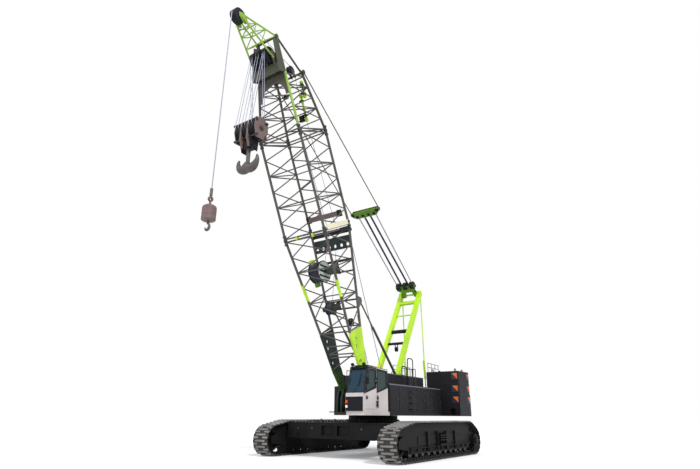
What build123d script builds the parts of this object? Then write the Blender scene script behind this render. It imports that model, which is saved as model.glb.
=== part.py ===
from build123d import *
from math import cos, hypot, radians, sin
import os

# ---------------------------------------------------------------------------
# Crawler crane with a lattice boom. Millimetres, +Z up. The origin is the slew
# centre on the ground, the machine looks towards -Y and +X is its left side.
# ---------------------------------------------------------------------------

# Undercarriage
GAUGE = 6900            # between the track centre lines
SHOE_W = 930            # width of a track shoe
LUG_H = 45              # height of a shoe's lug
CHAIN_T = 165           # shoe plate and chain link together
SHOES = 72              # shoes round one track
BEAM_FRONT = 3170       # front face of the front cross beam from the slew centre
BEAM_DEPTH = 900        # cross beam, front to back
BEAM_Z = (820, 1527)    # cross beam, underside and top
FRAME_W = 520           # width of a track frame
RING_R = 1250           # slewing ring, outer radius
RING_Z = (1527, 1850)   # slewing ring, underside and top

# Upper structure
DECK_Z = 1855           # underside of the revolving frame, 5 mm over the ring
FLOOR_Z = 2020          # cab floor underside
HOUSE_X = 1920          # side of the machinery houses
HOUSE_Z = 3270          # top of the lower side bodies
HOUSE_IN = 985          # inner side of the machinery houses
CAB_X = (985, 1920)     # cab, inner and outer side
CAB_Y = (-3910, -1756)  # cab, front and rear
CAB_ROOF = 3950
HOUSE_TOP = 3830             # top of the machinery houses' upper boxes
CW_X = 3040             # half width of the counterweight
CW_Y = (4216, 5788)     # counterweight, front and rear
CW_SPLITS = (1855, 2990, 3580, 4257)  # heights of the counterweight's joints

# Boom: foot pin, lean and the stations along its axis
FOOT_Y, FOOT_Z = -1503, 3033
LEAN = radians(63.9)    # boom's angle above the ground
KINK = 8060             # end of the tapered bottom section
INSERT_END = KINK + 4840      # end of the parallel insert
TOP_END = INSERT_END + 2900   # end of the tapered top section
FOOT_X = 770            # centre of a foot plate
BOOM_W, BOOM_D = 2400, 2180   # parallel section over the chord centres
CHORD_R, LACE_R = 62, 30      # radius of a chord and of a lacing
EYE_U, EYE_N, EYE_SIDE = TOP_END + 1850, 220, 600   # where the head's side frames meet
HEAD_U, HEAD_N = TOP_END + 900, 866     # axle of the head sheaves
TIP_U, TIP_N = TOP_END + 2690, 1920     # axle of the tip sheaves
SHEAVE_R = 400

# Gantry
LEG_FOOT = (640, 955, 3005)
LEG_TOP = (640, 4620, 9060)
LEG_BOX = (230, 260)    # width and depth of a leg's box section
STAY_FOOT = (640, 4960, 3100)
CARRIER_REACH = 760     # sheaves of the gantry head beyond the leg tops
BRIDLE = (-640, 12900)  # y, z of the bridle's middle

PIN_R = 80              # boom foot pin


# ------------------------------------------------------------------ helpers
def block(x, y, z):
    """Box between pairs of limits."""
    return Pos((x[0] + x[1]) / 2, (y[0] + y[1]) / 2, (z[0] + z[1]) / 2) * Box(
        abs(x[1] - x[0]), abs(y[1] - y[0]), abs(z[1] - z[0]))


def bar(p, q, radius, sides=8):
    """Straight prism from p to q, across flats close to a round tube."""
    a, b = Vector(*p), Vector(*q)
    plane = Plane(origin=a, z_dir=(b - a).normalized())
    return extrude(plane * RegularPolygon(radius, sides), (b - a).length)


def box_bar(p, q, width, depth):
    """Rectangular bar from p to q in a plane square to X, width along X."""
    a, b = Vector(*p), Vector(*q)
    plane = Plane(origin=a, x_dir=(1, 0, 0), z_dir=(b - a).normalized())
    return extrude(plane * Rectangle(width, depth), (b - a).length)


def rod(p, q, radius, bore=0):
    """Round bar from p to q."""
    a, b = Vector(*p), Vector(*q)
    plane = Plane(origin=a, z_dir=(b - a).normalized())
    face = Circle(radius) - Circle(bore) if bore else Circle(radius)
    return extrude(plane * face, (b - a).length)


def axle(x, y, z, radius, bore=0):
    """Round piece along X between the pair x, centred on y, z."""
    return rod((x[0], y, z), (x[1], y, z), radius, bore)


def side_plate(points, x, holes=()):
    """Plate in the YZ plane between the pair x; holes are (y, z, radius)."""
    plane = Plane(origin=(x[0], 0, 0), x_dir=(0, 1, 0), z_dir=(1, 0, 0))
    face = Polygon(*points, align=None)
    for y, z, r in holes:
        face -= Pos(y, z) * Circle(r)
    return extrude(plane * face, x[1] - x[0], dir=(1, 0, 0))


def mirror_x(shape):
    return mirror(shape, about=Plane.YZ)


def on_boom(u, n, x=0):
    """Point at u along the boom's axis, n towards its front face, x to the left."""
    return (x, FOOT_Y - u * cos(LEAN) - n * sin(LEAN), FOOT_Z + u * sin(LEAN) - n * cos(LEAN))


def boom_plate(points, x, holes=()):
    """Plate in the boom's side plane; points are (u, n)."""
    flat = [on_boom(u, n)[1:] for u, n in points]
    return side_plate(flat, x, [(*on_boom(u, n)[1:], r) for u, n, r in holes])


def fuse(first, *others):
    return first.fuse(*others) if others else first


def along(p, q, t):
    """Point at share t of the way from p to q."""
    return tuple(a + t * (b - a) for a, b in zip(p, q))


def across(u):
    """Plane square to the boom's axis at u, X across the machine and Y towards its rear."""
    return Plane(origin=on_boom(u, 0), x_dir=(1, 0, 0), z_dir=(0, -cos(LEAN), sin(LEAN)))


def blade(stations, thick):
    """Tapered bar along the boom; a station is (u, n, x, depth)."""
    return loft([across(u) * Pos(x, -n) * Rectangle(thick, depth) for u, n, x, depth in stations])


def face_plate(start, end, points, thick, holes=()):
    """Plate across the boom from start to end, both (u, n); points are (x, way from start)."""
    a, b = Vector(*on_boom(*start)), Vector(*on_boom(*end))
    up = (b - a).normalized()
    plane = Plane(origin=a, x_dir=(1, 0, 0), z_dir=Vector(1, 0, 0).cross(up))
    face = Polygon(*points, align=None)
    for x, y, r in holes:
        face -= Pos(x, y) * Circle(r)
    return extrude(plane * face, thick)


def section_at(ends, u):
    """Half width, front chord and rear chord of a lattice section at u."""
    (u0, *start), (u1, *end) = ends
    t = (u - u0) / (u1 - u0)
    return [a + t * (b - a) for a, b in zip(start, end)]


def hull(points):
    """Convex outline of points, anticlockwise."""
    points = sorted(set(points))
    halves = []
    for run in (points, points[::-1]):
        half = []
        for p in run:
            while len(half) > 1 and ((half[-1][0] - half[-2][0]) * (p[1] - half[-2][1])
                                     - (half[-1][1] - half[-2][1]) * (p[0] - half[-2][0])) <= 0:
                half.pop()
            half.append(p)
        halves.append(half[:-1])
    return halves[0] + halves[1]


parts = {}

# ------------------------------------------------------------- undercarriage
TRACK_X = GAUGE / 2
IDLER = (-3900, 720, 675)      # y, z and outer radius of the chain round it
SPROCKET = (3950, 680, 635)
CARRIERS = ((-2850, 1289, 300), (3450, 1289, 300))   # ends of the top run
WHEELS = (IDLER, SPROCKET, *CARRIERS)


def wheel_hull(inset):
    """Outline of the chain, drawn tight round its wheels."""
    return hull([(round(y + (r - inset) * cos(radians(a)), 2), round(z + (r - inset) * sin(radians(a)), 2))
                 for y, z, r in WHEELS for a in range(0, 360, 6)])


def walk(outline, count):
    """Evenly spaced points round a closed outline, each with its outward normal."""
    legs = list(zip(outline, outline[1:] + outline[:1]))
    lengths = [hypot(b[0] - a[0], b[1] - a[1]) for a, b in legs]
    step, out, done, i = sum(lengths) / count, [], 0, 0
    for k in range(count):
        while done + lengths[i] < k * step:
            done += lengths[i]
            i += 1
        (ay, az), (by, bz) = legs[i]
        t = (k * step - done) / lengths[i]
        out.append((ay + t * (by - ay), az + t * (bz - az),
                    (bz - az) / lengths[i], -(by - ay) / lengths[i]))
    return out


# profile of one shoe: share of its pitch, height over its plate
SHOE = ((0.04, 0), (0.14, 0), (0.20, LUG_H), (0.34, LUG_H), (0.40, 4), (0.60, 4),
        (0.66, LUG_H), (0.80, LUG_H), (0.86, 0), (0.97, -14))
corners = walk(wheel_hull(0), round(SHOES))
track_outline = []
for (y0, z0, *_), (y1, z1, *_) in zip(corners, corners[1:] + corners[:1]):
    length = hypot(y1 - y0, z1 - z0)
    ny, nz = (z1 - z0) / length, -(y1 - y0) / length
    track_outline += [(y0 + s * (y1 - y0) + h * ny, z0 + s * (z1 - z0) + h * nz) for s, h in SHOE]
inner_outline = [(y, z) for y, z, *_ in walk(wheel_hull(CHAIN_T), round(SHOES))]
track_x = (TRACK_X - SHOE_W / 2, TRACK_X + SHOE_W / 2)
track = side_plate(track_outline, track_x) - side_plate(inner_outline, track_x)
parts["track_left"] = track
parts["track_right"] = mirror_x(track)

# Track frame: box girder, two skirts that hold the rollers, forks for the idler
fx0, fx1 = TRACK_X - FRAME_W / 2, TRACK_X + FRAME_W / 2
GIRDER = ((-3100, 560), (3250, 560), (3250, 1030), (2900, 1190), (-2500, 1190), (-3100, 950))
SKIRT = ((-3250, 350), (3250, 350), (3400, 480), (4120, 530), (4120, 860), (3700, 1110), (2950, 1240),
         (-2650, 1240),
         (-3550, 1110), (-4050, 860), (-4050, 580), (-3250, 480))
girder = side_plate(GIRDER, (fx0 + 30, fx1 - 30))
skirts = [side_plate(SKIRT, (x, x + 60)) for x in (fx0, fx1 - 60)]
rail = block((fx0 - 60, fx1 + 60), (-3150, 3150), (350, 400)) - block((fx0, fx1), (-3200, 3200), (340, 410))
ribs = [block((fx1, fx1 + 90), (y - 20, y + 20), (395, 1200)) for y in (-1500, -500, 500, 1500)]
steps = [block((fx1 - 5, fx1 + 150), (-350, 350), (z, z + 40)) for z in (620, 900)]
track_frame = fuse(girder, *skirts, rail, *ribs, *steps)
parts["track_frame_left"] = track_frame
parts["track_frame_right"] = mirror_x(track_frame)

# Rollers between the skirts, and carrier rollers on posts under the top run
LOWER_R, CARRIER_R = 165, 105
lower_z = LUG_H + CHAIN_T + LOWER_R
lower = [axle((fx0 + 60, fx1 - 60), -3000 + i * 6000 / 10, lower_z, LOWER_R) for i in range(11)]
carrier_z = 1589 - CHAIN_T - CARRIER_R
carrier = []
for y in (-1900, 300, 2500):
    wheel = axle((TRACK_X - 150, TRACK_X + 150), y, carrier_z, CARRIER_R)
    post = block((TRACK_X - 60, TRACK_X + 60), (y - 60, y + 60), (1190, carrier_z))
    carrier.append(wheel + post)
rollers = Compound(children=[s for piece in lower + carrier for s in piece.solids()])
parts["rollers_left"] = rollers
parts["rollers_right"] = mirror_x(rollers)


def idler():
    y, z, r = IDLER
    rim = r - CHAIN_T - 22
    wheel = axle((TRACK_X - 170, TRACK_X + 170), y, z, rim)
    for side in (-1, 1):
        x = (TRACK_X + side * 90, TRACK_X + side * 180)
        wheel -= axle(x, y, z, rim - 90) - axle(x, y, z, 150)
    return wheel + axle((fx0 + 60, fx1 - 60), y, z, 80)


def final_drive():
    """Toothed sprocket with the travel motor and gear case on its outer side."""
    y, z, r = SPROCKET
    root = r - CHAIN_T - 22
    wheel = axle((TRACK_X - 90, TRACK_X + 90), y, z, root - 60)
    teeth = [Pos(TRACK_X, y, z) * Rot(a, 0, 0) * Pos(0, 0, root - 50) * Box(180, 110, 96)
             for a in range(0, 360, 24)]
    case = axle((TRACK_X + 85, track_x[1] - 30), y, z, 300)
    cap = axle((track_x[1] - 35, track_x[1] + 20), y, z, 210)
    motor = axle((fx0 - 120, TRACK_X - 85), y, z, 240)
    return fuse(wheel, *teeth, case, cap, motor) - track_frame


parts["idlers"] = Compound(children=[*idler().solids(), *mirror_x(idler()).solids()])
drive = final_drive()
parts["final_drives"] = Compound(children=[*drive.solids(), *mirror_x(drive).solids()])

# Carbody: centre box under the slewing ring and two cross beams to the frames
half_beam = TRACK_X - SHOE_W / 2 - 30
carbody = block((-1450, 1450), (-2300, 2300), (760, 1527))
for side in (-1, 1):
    y = sorted((side * BEAM_FRONT, side * (BEAM_FRONT - BEAM_DEPTH)))
    carbody += block((-half_beam, half_beam), y, BEAM_Z)
    carbody += block((-fx0, fx0), (y[0] + 120, y[1] - 120), (860, 1180))
# pockets in the beam's face for the shoes of the jacks
    face = side * BEAM_FRONT
    for x in (-550, 350):
        carbody -= block((x - 350, x + 350), (face - 120, face + 120), (960, 1390))
carbody -= block((-900, 900), (-1500, 1500), (700, 1100))
# lashing eyes on the front beam
EYE_X, EYE_R, EYE_T = 2300, 45, 60
for side in (-1, 1):
    x = sorted((side * (EYE_X - EYE_T / 2), side * (EYE_X + EYE_T / 2)))
    carbody += side_plate(((-BEAM_FRONT + 5, 880), (-BEAM_FRONT - 90, 900), (-BEAM_FRONT - 170, 960),
                           (-BEAM_FRONT - 170, 1040),
                           (-BEAM_FRONT - 90, 1100), (-BEAM_FRONT + 5, 1120)), x,
                           holes=((-BEAM_FRONT - 90, 1000, EYE_R),))
parts["carbody"] = carbody
ring = rod((0, 0, RING_Z[0]), (0, 0, RING_Z[1]), RING_R, 900) + rod((0, 0, RING_Z[0]),
                                                                    (0, 0, RING_Z[0] + 110),
                                                                    RING_R + 110, 900)
ring += rod((0, 0, RING_Z[0]), (0, 0, DECK_Z - 0.5), 1000, 900)
parts["slewing_ring"] = ring

# ----------------------------------------------------------- upper structure
# Revolving frame: deck, two long girders and the ears that carry the boom foot
deck = block((-HOUSE_IN, HOUSE_IN), (-2000, CW_Y[0]), (DECK_Z, 1990)) - rod((0, 0, 1800), (0, 0, 2050), 700)
frame = deck
WEB = ((-1950, 1985), (CW_Y[0], 1985), (CW_Y[0], 2900), (700, 2900), (300, 2600), (-900, 2600),
       (-1200, 3150), (-1503, 3240), (-1750, 3130), (-1950, 2600))
WEB_X = (610, 680, 860, 930)
BACKSTOP_X, BACKSTOP_FOOT = 890, (1050, 3720)
DRUM_Y, DRUM_Z = 1150, 2420
for side in (-1, 1):
    for x0, x1 in (WEB_X[:2], WEB_X[2:]):
        frame += side_plate(WEB, sorted((side * x0, side * x1)))
    frame += block(sorted((side * 600, side * 940)), (750, CW_Y[0]), (2870, 2900))
    frame += axle(sorted((side * 600, side * 940)), FOOT_Y, FOOT_Z, PIN_R)
# brackets and pins that the backstops stand on
    fy, fz = BACKSTOP_FOOT
    frame += side_plate(((850, 2895), (1400, 2895), (1150, fz + 80), (950, fz + 80)),
                        sorted((side * 770, side * 823.5)))
    frame += axle(sorted((side * 770, side * 955)), fy, fz, 45)
frame += block((-610, 610), (-500, 300), (1990, 2500))
frame += axle((-610, 610), DRUM_Y, DRUM_Z, 60)
parts["revolving_frame"] = frame


def house(x, y, lid):
    """Machinery house: sheet shell with its own top step and louvred side."""
    body = block(x, y, (DECK_Z, HOUSE_Z))
    top = block((x[0] + 20, x[1] - 420), (y[0] + 60, lid), (HOUSE_Z - 5, HOUSE_TOP))
    shell = body + top
    shell -= block((x[0] + 60, x[1] - 60), (y[0] + 60, y[1] - 60), (DECK_Z + 60, HOUSE_Z - 60))
    shell -= block((x[0] + 80, x[1] - 480), (y[0] + 120, lid - 60), (HOUSE_Z - 70, HOUSE_TOP - 60))
    # three long ribs pressed into the side sheets
    for z in (2350, 2650, 2950):
        shell += block((x[1] - 5, x[1] + 22), (y[0] + 200, y[1] - 200), (z, z + 60))
    return shell


parts["house_left"] = house((HOUSE_IN, HOUSE_X), (-1620, CW_Y[0]), 2900)
right_house = house((HOUSE_IN, HOUSE_X), (-760, CW_Y[0]), 2900)
right_house += block((HOUSE_IN, HOUSE_X), (-1180, -755), (1985, 2030))   # step ahead of it
parts["house_right"] = mirror_x(right_house)
parts["engine"] = block((-560, 560), (2000, 3900), (1990, 3300))

# Counterweight: a base tray across the machine and two stacks of slabs
gap_x = 1050
lower = block((-CW_X, CW_X), CW_Y, CW_SPLITS[:2])
for side in (-1, 1):
    lower -= block(sorted((side * 2450, side * 2750)), (CW_Y[0] - 10, CW_Y[0] + 250), (1930, 2250))
parts["counterweight_lower"] = lower


def slabs(z):
    out = []
    for side in (-1, 1):
        slab = block(sorted((side * gap_x, side * CW_X)), CW_Y, z)
        edges = slab.edges().filter_by(Axis.Z)
        out += chamfer(edges, 60).solids()
    return Compound(children=out)


parts["counterweight_middle"] = slabs(CW_SPLITS[1:3])
parts["counterweight_upper"] = slabs(CW_SPLITS[2:])

# Gantry: two leaning legs with cross bars, and two backstays behind them
legs = None
for side in (-1, 1):
    foot, top = (side * LEG_FOOT[0], *LEG_FOOT[1:]), (side * LEG_TOP[0], *LEG_TOP[1:])
    leg = box_bar(foot, top, *LEG_BOX) + block(sorted((side * 535, side * 745)), (780, 1100), (2900, 3120))
    head_eye = axle(sorted((side * 560, side * 720)), *LEG_TOP[1:], 210)
    legs = leg + head_eye if legs is None else legs + leg + head_eye
# cross members: share of the way up, radius
for t, r in ((0.46, 60), (0.585, 95), (0.76, 45), (0.905, 130)):
    x, y, z = along(LEG_FOOT, LEG_TOP, t)
    legs += bar((x, y, z), (-x, y, z), r, 6)
legs += axle((-740, 740), *LEG_TOP[1:], 60)
parts["gantry_legs"] = legs

stays = None
for side in (-1, 1):
    x = side * 640
    s = bar((x, *STAY_FOOT[1:]), (x, LEG_TOP[1] + 140, LEG_TOP[2] - 120), 34, 8)
    s += bar((x, STAY_FOOT[1], 3900), (x, *along(STAY_FOOT[1:], LEG_TOP[1:], 0.32)), 62, 6)
    s += block(sorted((side * 560, side * 720)), (STAY_FOOT[1] - 180, STAY_FOOT[1] + 180),
               (CW_SPLITS[1], 3250))
    stays = s if stays is None else stays + s
stays -= legs
parts["gantry_backstays"] = Compound(children=stays.solids())


# Rope direction from the gantry head to the bridle, square to X
rope = hypot(BRIDLE[0] - LEG_TOP[1], BRIDLE[1] - LEG_TOP[2])
ry, rz = (BRIDLE[0] - LEG_TOP[1]) / rope, (BRIDLE[1] - LEG_TOP[2]) / rope


def on_rope(s, t=0, x=0):
    """Point s along the luffing ropes from the leg tops, t to their upper side."""
    return (x, LEG_TOP[1] + s * ry + t * rz, LEG_TOP[2] + s * rz - t * ry)


def rope_plate(points, t, thick):
    """Plate that contains X and the rope direction; points are (x, s)."""
    plane = Plane(origin=on_rope(0, t), x_dir=(1, 0, 0), z_dir=(0, rz, -ry))
    if plane.y_dir.dot(Vector(0, ry, rz)) < 0:
        points = [(x, -s) for x, s in points]
    face = plane * Polygon(*points, align=None)
    return extrude(face, thick, dir=(0, rz, -ry))


def sheave(x, y, z, radius, width, bore=0):
    """Grooved rope sheave along X."""
    rim = width / 2
    half = [(bore, -rim), (radius, -rim), (radius, -rim * 0.7), (radius * 0.9, 0), (radius, rim * 0.7),
            (radius, rim), (bore, rim)]
    plane = Plane(origin=(x, y, z), x_dir=(0, 0, 1), z_dir=(0, 1, 0))
    face = plane * Polygon(*half, align=None)
    return revolve(face, Axis((x, y, z), (1, 0, 0)), 360)


# Gantry head: a carrier that leans towards the bridle, with three pairs of sheaves
CLUSTERS, CARRIER_T = (-460, 0, 460), 110
carrier_plate = [(-500, -60), (-430, 380), (-640, 560), (-640, 820), (-300, 840), (-240, 700),
                 (-220, 840), (220, 840),
                 (240, 700), (300, 840), (640, 820), (640, 560), (430, 380), (500, -60), (300, -60),
                 (290, 330),
                 (-290, 330), (-300, -60)]
carrier_head = None
for t in (-CARRIER_T - 25, CARRIER_T):
    p = rope_plate(carrier_plate, t, 25)
    carrier_head = p if carrier_head is None else carrier_head + p
for x in CLUSTERS:
    y, z = on_rope(CARRIER_REACH)[1:]
    for dx in (-58, 58):
        carrier_head += sheave(x + dx, y, z, 235, 100)
    carrier_head += axle((x - 150, x + 150), y, z, 75)
for side in (-1, 1):
    carrier_head += axle(sorted((side * 320, side * 500)), *LEG_TOP[1:], 150)
carrier_head += axle((-640, 640), *on_rope(CARRIER_REACH)[1:], 55)
parts["gantry_sheaves"] = carrier_head - axle((-700, 700), *LEG_TOP[1:], 60.6)

# Bridle: two deep plates with rope sheaves between them
BRIDLE_W, BRIDLE_T = 880, 100
bridle_plate = [(-BRIDLE_W, rope + 130), (-BRIDLE_W + 60, rope + 190), (BRIDLE_W - 60, rope + 190),
                (BRIDLE_W, rope + 130),
                (BRIDLE_W, rope - 70), (BRIDLE_W - 230, rope - 230), (-BRIDLE_W + 230, rope - 230),
                (-BRIDLE_W, rope - 70)]
bridle = rope_plate(bridle_plate, -BRIDLE_T - 25, 25) + rope_plate(bridle_plate, BRIDLE_T, 25)
bridle += rope_plate([(-BRIDLE_W, rope + 60), (BRIDLE_W, rope + 60), (BRIDLE_W, rope + 130),
                      (-BRIDLE_W, rope + 130)],
                     -BRIDLE_T, 2 * BRIDLE_T)
BRIDLE_ROPES = (-560, -190, 190, 560)
FALLS = (-518, -402, -58, 58, 402, 518)
for x in BRIDLE_ROPES:
    y, z = on_rope(rope - 130)[1:]
    bridle += sheave(x, y, z, 150, 150) + rod(on_rope(rope - 90, -BRIDLE_T - 45, x),
                                              on_rope(rope - 90, BRIDLE_T + 45, x), 45)
for side in (-1, 1):
    bridle += axle(sorted((side * (BRIDLE_W - 60), side * BRIDLE_W)), *on_rope(rope + 60)[1:], 120)
parts["luffing_bridle"] = bridle

# Luffing ropes: each fall is two lines side by side, one held by the gantry head
# and one by the bridle, so that they pass each other as the bridle travels
BRIDLE_TRAVEL = 2100    # how far the bridle comes in when the boom is steepest
ROPE_R, ROPE_SIDE = 22, 29
in_reach = rope - 230 - BRIDLE_TRAVEL - 60
out_reach = CARRIER_REACH + 235 + BRIDLE_TRAVEL + 60
for name, ends, side in (("gantry_ropes", (CARRIER_REACH, in_reach), -1),
                         ("bridle_ropes", (out_reach, rope + 70), 1)):
    lines = [rod(on_rope(ends[0], 0, x + side * ROPE_SIDE), on_rope(ends[1], 0, x + side * ROPE_SIDE),
                 ROPE_R)
             for x in FALLS]
    lines = [line - (carrier_head if side < 0 else bridle) for line in lines]
    longest = [max(line.solids(), key=lambda s: s.volume) for line in lines]
    parts[name] = Compound(children=longest)

# Boom hoist drum on the deck between the webs
drum = axle((-560, 560), DRUM_Y, DRUM_Z, 300)
for side in (-1, 1):
    drum += axle(sorted((side * 550, side * 590)), DRUM_Y, DRUM_Z, 400)
parts["boom_hoist_drum"] = drum - axle((-600, 600), DRUM_Y, DRUM_Z, 60)

# Rails, grab loops and the exhaust on the houses
rails = None
loops = ((300, 3270, 4180), (900, 3270, 4150))
for y, z0, z1 in loops:
    loop = fuse(bar((1860, y, z0), (1860, y, z1), 22, 6), bar((1860, y + 380, z0), (1860, y + 380, z1),
                                                              22, 6),
                bar((1860, y - 15, z1), (1860, y + 395, z1), 22, 6))
    rails = loop if rails is None else rails + loop
rails = Compound(children=[*rails.solids(), *mirror_x(rails).solids()])
parts["handrails"] = rails
parts["exhaust"] = rod((-1300, 2500, HOUSE_TOP), (-1300, 2500, HOUSE_TOP + 670), 90,
                       78) + rod((-1300, 2500, HOUSE_TOP), (-1300, 2500, HOUSE_TOP + 70), 130, 78)

# ------------------------------------------------------------------- the cab
cx0, cx1 = CAB_X
cy0, cy1 = CAB_Y
WALL = 45
CAB_SIDE = ((cy0, FLOOR_Z), (cy0, 2740), (cy0 + 60, 2800), (cy0 + 350, CAB_ROOF - 60),
            (cy0 + 420, CAB_ROOF),
            (cy1 - 60, CAB_ROOF - 40), (cy1, CAB_ROOF - 110), (cy1, FLOOR_Z))
INNER_SIDE = ((cy0 + WALL, FLOOR_Z + 60), (cy0 + WALL, 2740), (cy0 + WALL + 60, 2800),
              (cy0 + 350 + WALL, CAB_ROOF - 60 - WALL), (cy0 + 420 + WALL, CAB_ROOF - WALL),
              (cy1 - 60 - WALL, CAB_ROOF - 40 - WALL), (cy1 - WALL, CAB_ROOF - 110 - WALL),
              (cy1 - WALL, FLOOR_Z + 60))
shell = side_plate(CAB_SIDE, CAB_X) - side_plate(INNER_SIDE, (cx0 + WALL, cx1 - WALL))
# door opening, and the windows of the rear side panel, inner side, rear and front
LINTEL = CAB_ROOF - 90     # top of the door opening
DOOR = ((cy0 + 150, FLOOR_Z + 90), (cy0 + 150, 2760), (cy0 + 450, LINTEL), (-2790, LINTEL),
        (-2790, FLOOR_Z + 90))
REAR_WINDOW = ((-2690, 2860), (-2690, LINTEL - 30), (-1880, LINTEL - 60), (-1880, 3130))
SIDE_WINDOW = ((-3350, 2900), (-3250, LINTEL - 40), (-2050, LINTEL - 40), (-2050, 2900))
BACK_WINDOW = (2900, LINTEL - 120)     # bottom and top
SCREEN = (2815, CAB_ROOF - 75)         # bottom and top of the windscreen
screen_x = (cx0 + 50, cx1 - 50)
shell -= side_plate(DOOR, (cx1 - WALL - 20, cx1 + 20))
shell -= side_plate(REAR_WINDOW, (cx1 - WALL - 20, cx1 + 20))
shell -= side_plate(SIDE_WINDOW, (cx0 - 20, cx0 + WALL + 20))
shell -= block((cx0 + 120, cx1 - 120), (cy1 - WALL - 20, cy1 + 20), BACK_WINDOW)


def screen_slab(near, far):
    """Slab parallel to the windscreen, between two depths behind its outer face."""
    slope = (350 - 60) / (CAB_ROOF - 60 - 2800)
    low, high = [cy0 + 60 + (z - 2800) * slope for z in SCREEN]
    return side_plate(((low + near, SCREEN[0]), (low + far, SCREEN[0]), (high + far, SCREEN[1]),
                       (high + near, SCREEN[1])), screen_x)


shell -= screen_slab(-60, WALL + 60)
base = block((cx0, cx1), (cy0 + 60, cy1 + 136), (DECK_Z, FLOOR_Z))
shell += base
# shell halves of the door hinges
HINGE_X, HINGE_Y = cx1 + 22, -2790
for z in (2300, 3300):
    for z0 in (z - 62, z + 102):
        shell += rod((HINGE_X, HINGE_Y, z0), (HINGE_X, HINGE_Y, z0 + 60), 14)
        shell += block((cx1 - 5, cx1 + 20), (HINGE_Y + 2, HINGE_Y + 80), (z0, z0 + 60))
    shell += rod((HINGE_X, HINGE_Y, z - 30), (HINGE_X, HINGE_Y, z + 130), 7)
parts["cab_shell"] = shell
glass = [screen_slab(12, 22),
         side_plate(REAR_WINDOW, (cx1 - 28, cx1 - 20)),
         side_plate(SIDE_WINDOW, (cx0 + 20, cx0 + 28)),
         block((cx0 + 120, cx1 - 120), (cy1 - 28, cy1 - 20), BACK_WINDOW)]
parts["cab_glass"] = Compound(children=[s for g in glass for s in g.solids()])
seat_x = (cx0 + 230, cx1 - 230)
seat = fuse(block((seat_x[0] + 80, seat_x[1] - 80), (-2600, -2350), (FLOOR_Z + 60, 2400)),
            block(seat_x, (-2750, -2280), (2400, 2520)),
            side_plate(((-2320, 2500), (-2220, 3150), (-2120, 3150), (-2200, 2500)), seat_x))
parts["cab_seat"] = seat

# Door: leaf with the same wall, its saw-tooth window, hinged at its rear edge
inset = 8
leaf_out = ((cy0 + 150 + inset, FLOOR_Z + 90 + inset), (cy0 + 150 + inset, 2760),
            (cy0 + 450 + inset, LINTEL - inset),
            (-2790 - inset, LINTEL - inset), (-2790 - inset, FLOOR_Z + 90 + inset))
DOOR_WINDOW = ((cy0 + 240, 2830), (cy0 + 500, LINTEL - 60), (-2860, LINTEL - 60), (-2860, 3100))
leaf = side_plate(leaf_out, (cx1 - WALL, cx1)) - side_plate(DOOR_WINDOW, (cx1 - WALL - 20, cx1 + 20))
for z in (2300, 3300):
    leaf += rod((HINGE_X, HINGE_Y, z), (HINGE_X, HINGE_Y, z + 100), 14)
    leaf += block((cx1 - 5, cx1 + 20), (HINGE_Y - 60, HINGE_Y - 4), (z, z + 100))
    leaf -= rod((HINGE_X, HINGE_Y, z - 1), (HINGE_X, HINGE_Y, z + 101), 7.8)
leaf += block((cx1, cx1 + 30), (cy0 + 260, cy0 + 420), (2620, 2660))
parts["cab_door"] = leaf
parts["door_glass"] = side_plate(DOOR_WINDOW, (cx1 - 28, cx1 - 20))

# ------------------------------------------------------------------ the boom
# stations of a lattice section: u, half width, front chords, rear chords
MIDDLE = (BOOM_W / 2, BOOM_D / 2, -BOOM_D / 2)
BOTTOM = ((900, 710, 420, -50), (KINK, *MIDDLE))
INSERT = ((KINK, *MIDDLE), (INSERT_END, *MIDDLE))
TOP = ((INSERT_END, *MIDDLE), (TOP_END, 834, 559, -860))


def boom_slab(u0, u1, reach=3000):
    """Space between two planes square to the boom's axis."""
    return extrude(across(u0) * Rectangle(reach, reach), u1 - u0)


def lattice(ends, bays, first=0.0, last=1.0):
    """Four chords with end frames, and zigzag lacings on all four sides."""
    u0, u1 = ends[0][0], ends[1][0]

    def node(t, corner):
        u = u0 + t * (u1 - u0)
        w, front, rear = section_at(ends, u)
        return on_boom(u, front if corner in (0, 1) else rear, w if corner in (0, 3) else -w)

    shift = 70 / (u1 - u0)
    bars = [bar(node(first - shift, c), node(1 + shift, c), CHORD_R) for c in range(4)]
    for t in (first + shift, last - shift):
        bars += [bar(node(t, c), node(t, (c + 1) % 4), LACE_R + 6, 6) for c in range(4)]
    for c in range(4):
        for k in range(bays):
            ta = first + shift + (last - first - 2 * shift) * k / bays
            tb = first + shift + (last - first - 2 * shift) * (k + 1) / bays
            a, b = (c, (c + 1) % 4) if k % 2 else ((c + 1) % 4, c)
            bars.append(bar(node(ta, a), node(tb, b), LACE_R, 6))
            if k % 2 and k < bays - 1:
                bars.append(bar(node(tb, a), node(tb, b), LACE_R, 6))
    return fuse(*bars) & boom_slab(u0 + first * (u1 - u0), u1)


# Foot plates: gusset plates from the foot pins up the sides, holed and stiffened
PLATE_LOW, PLATE_TOP = 1100, 3100     # ends of their widening part
PLATE_HOLES = ((2680, 300, 92), (2340, 380, 92), (1570, 330, 115))   # u, n, radius


def foot_station(u, x, extra=0):
    """Place and depth of a foot plate over both its chords."""
    front, rear = section_at(BOTTOM, u)[1:]
    return (u, (front + rear) / 2, x, front - rear + 2 * CHORD_R + extra)


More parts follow.
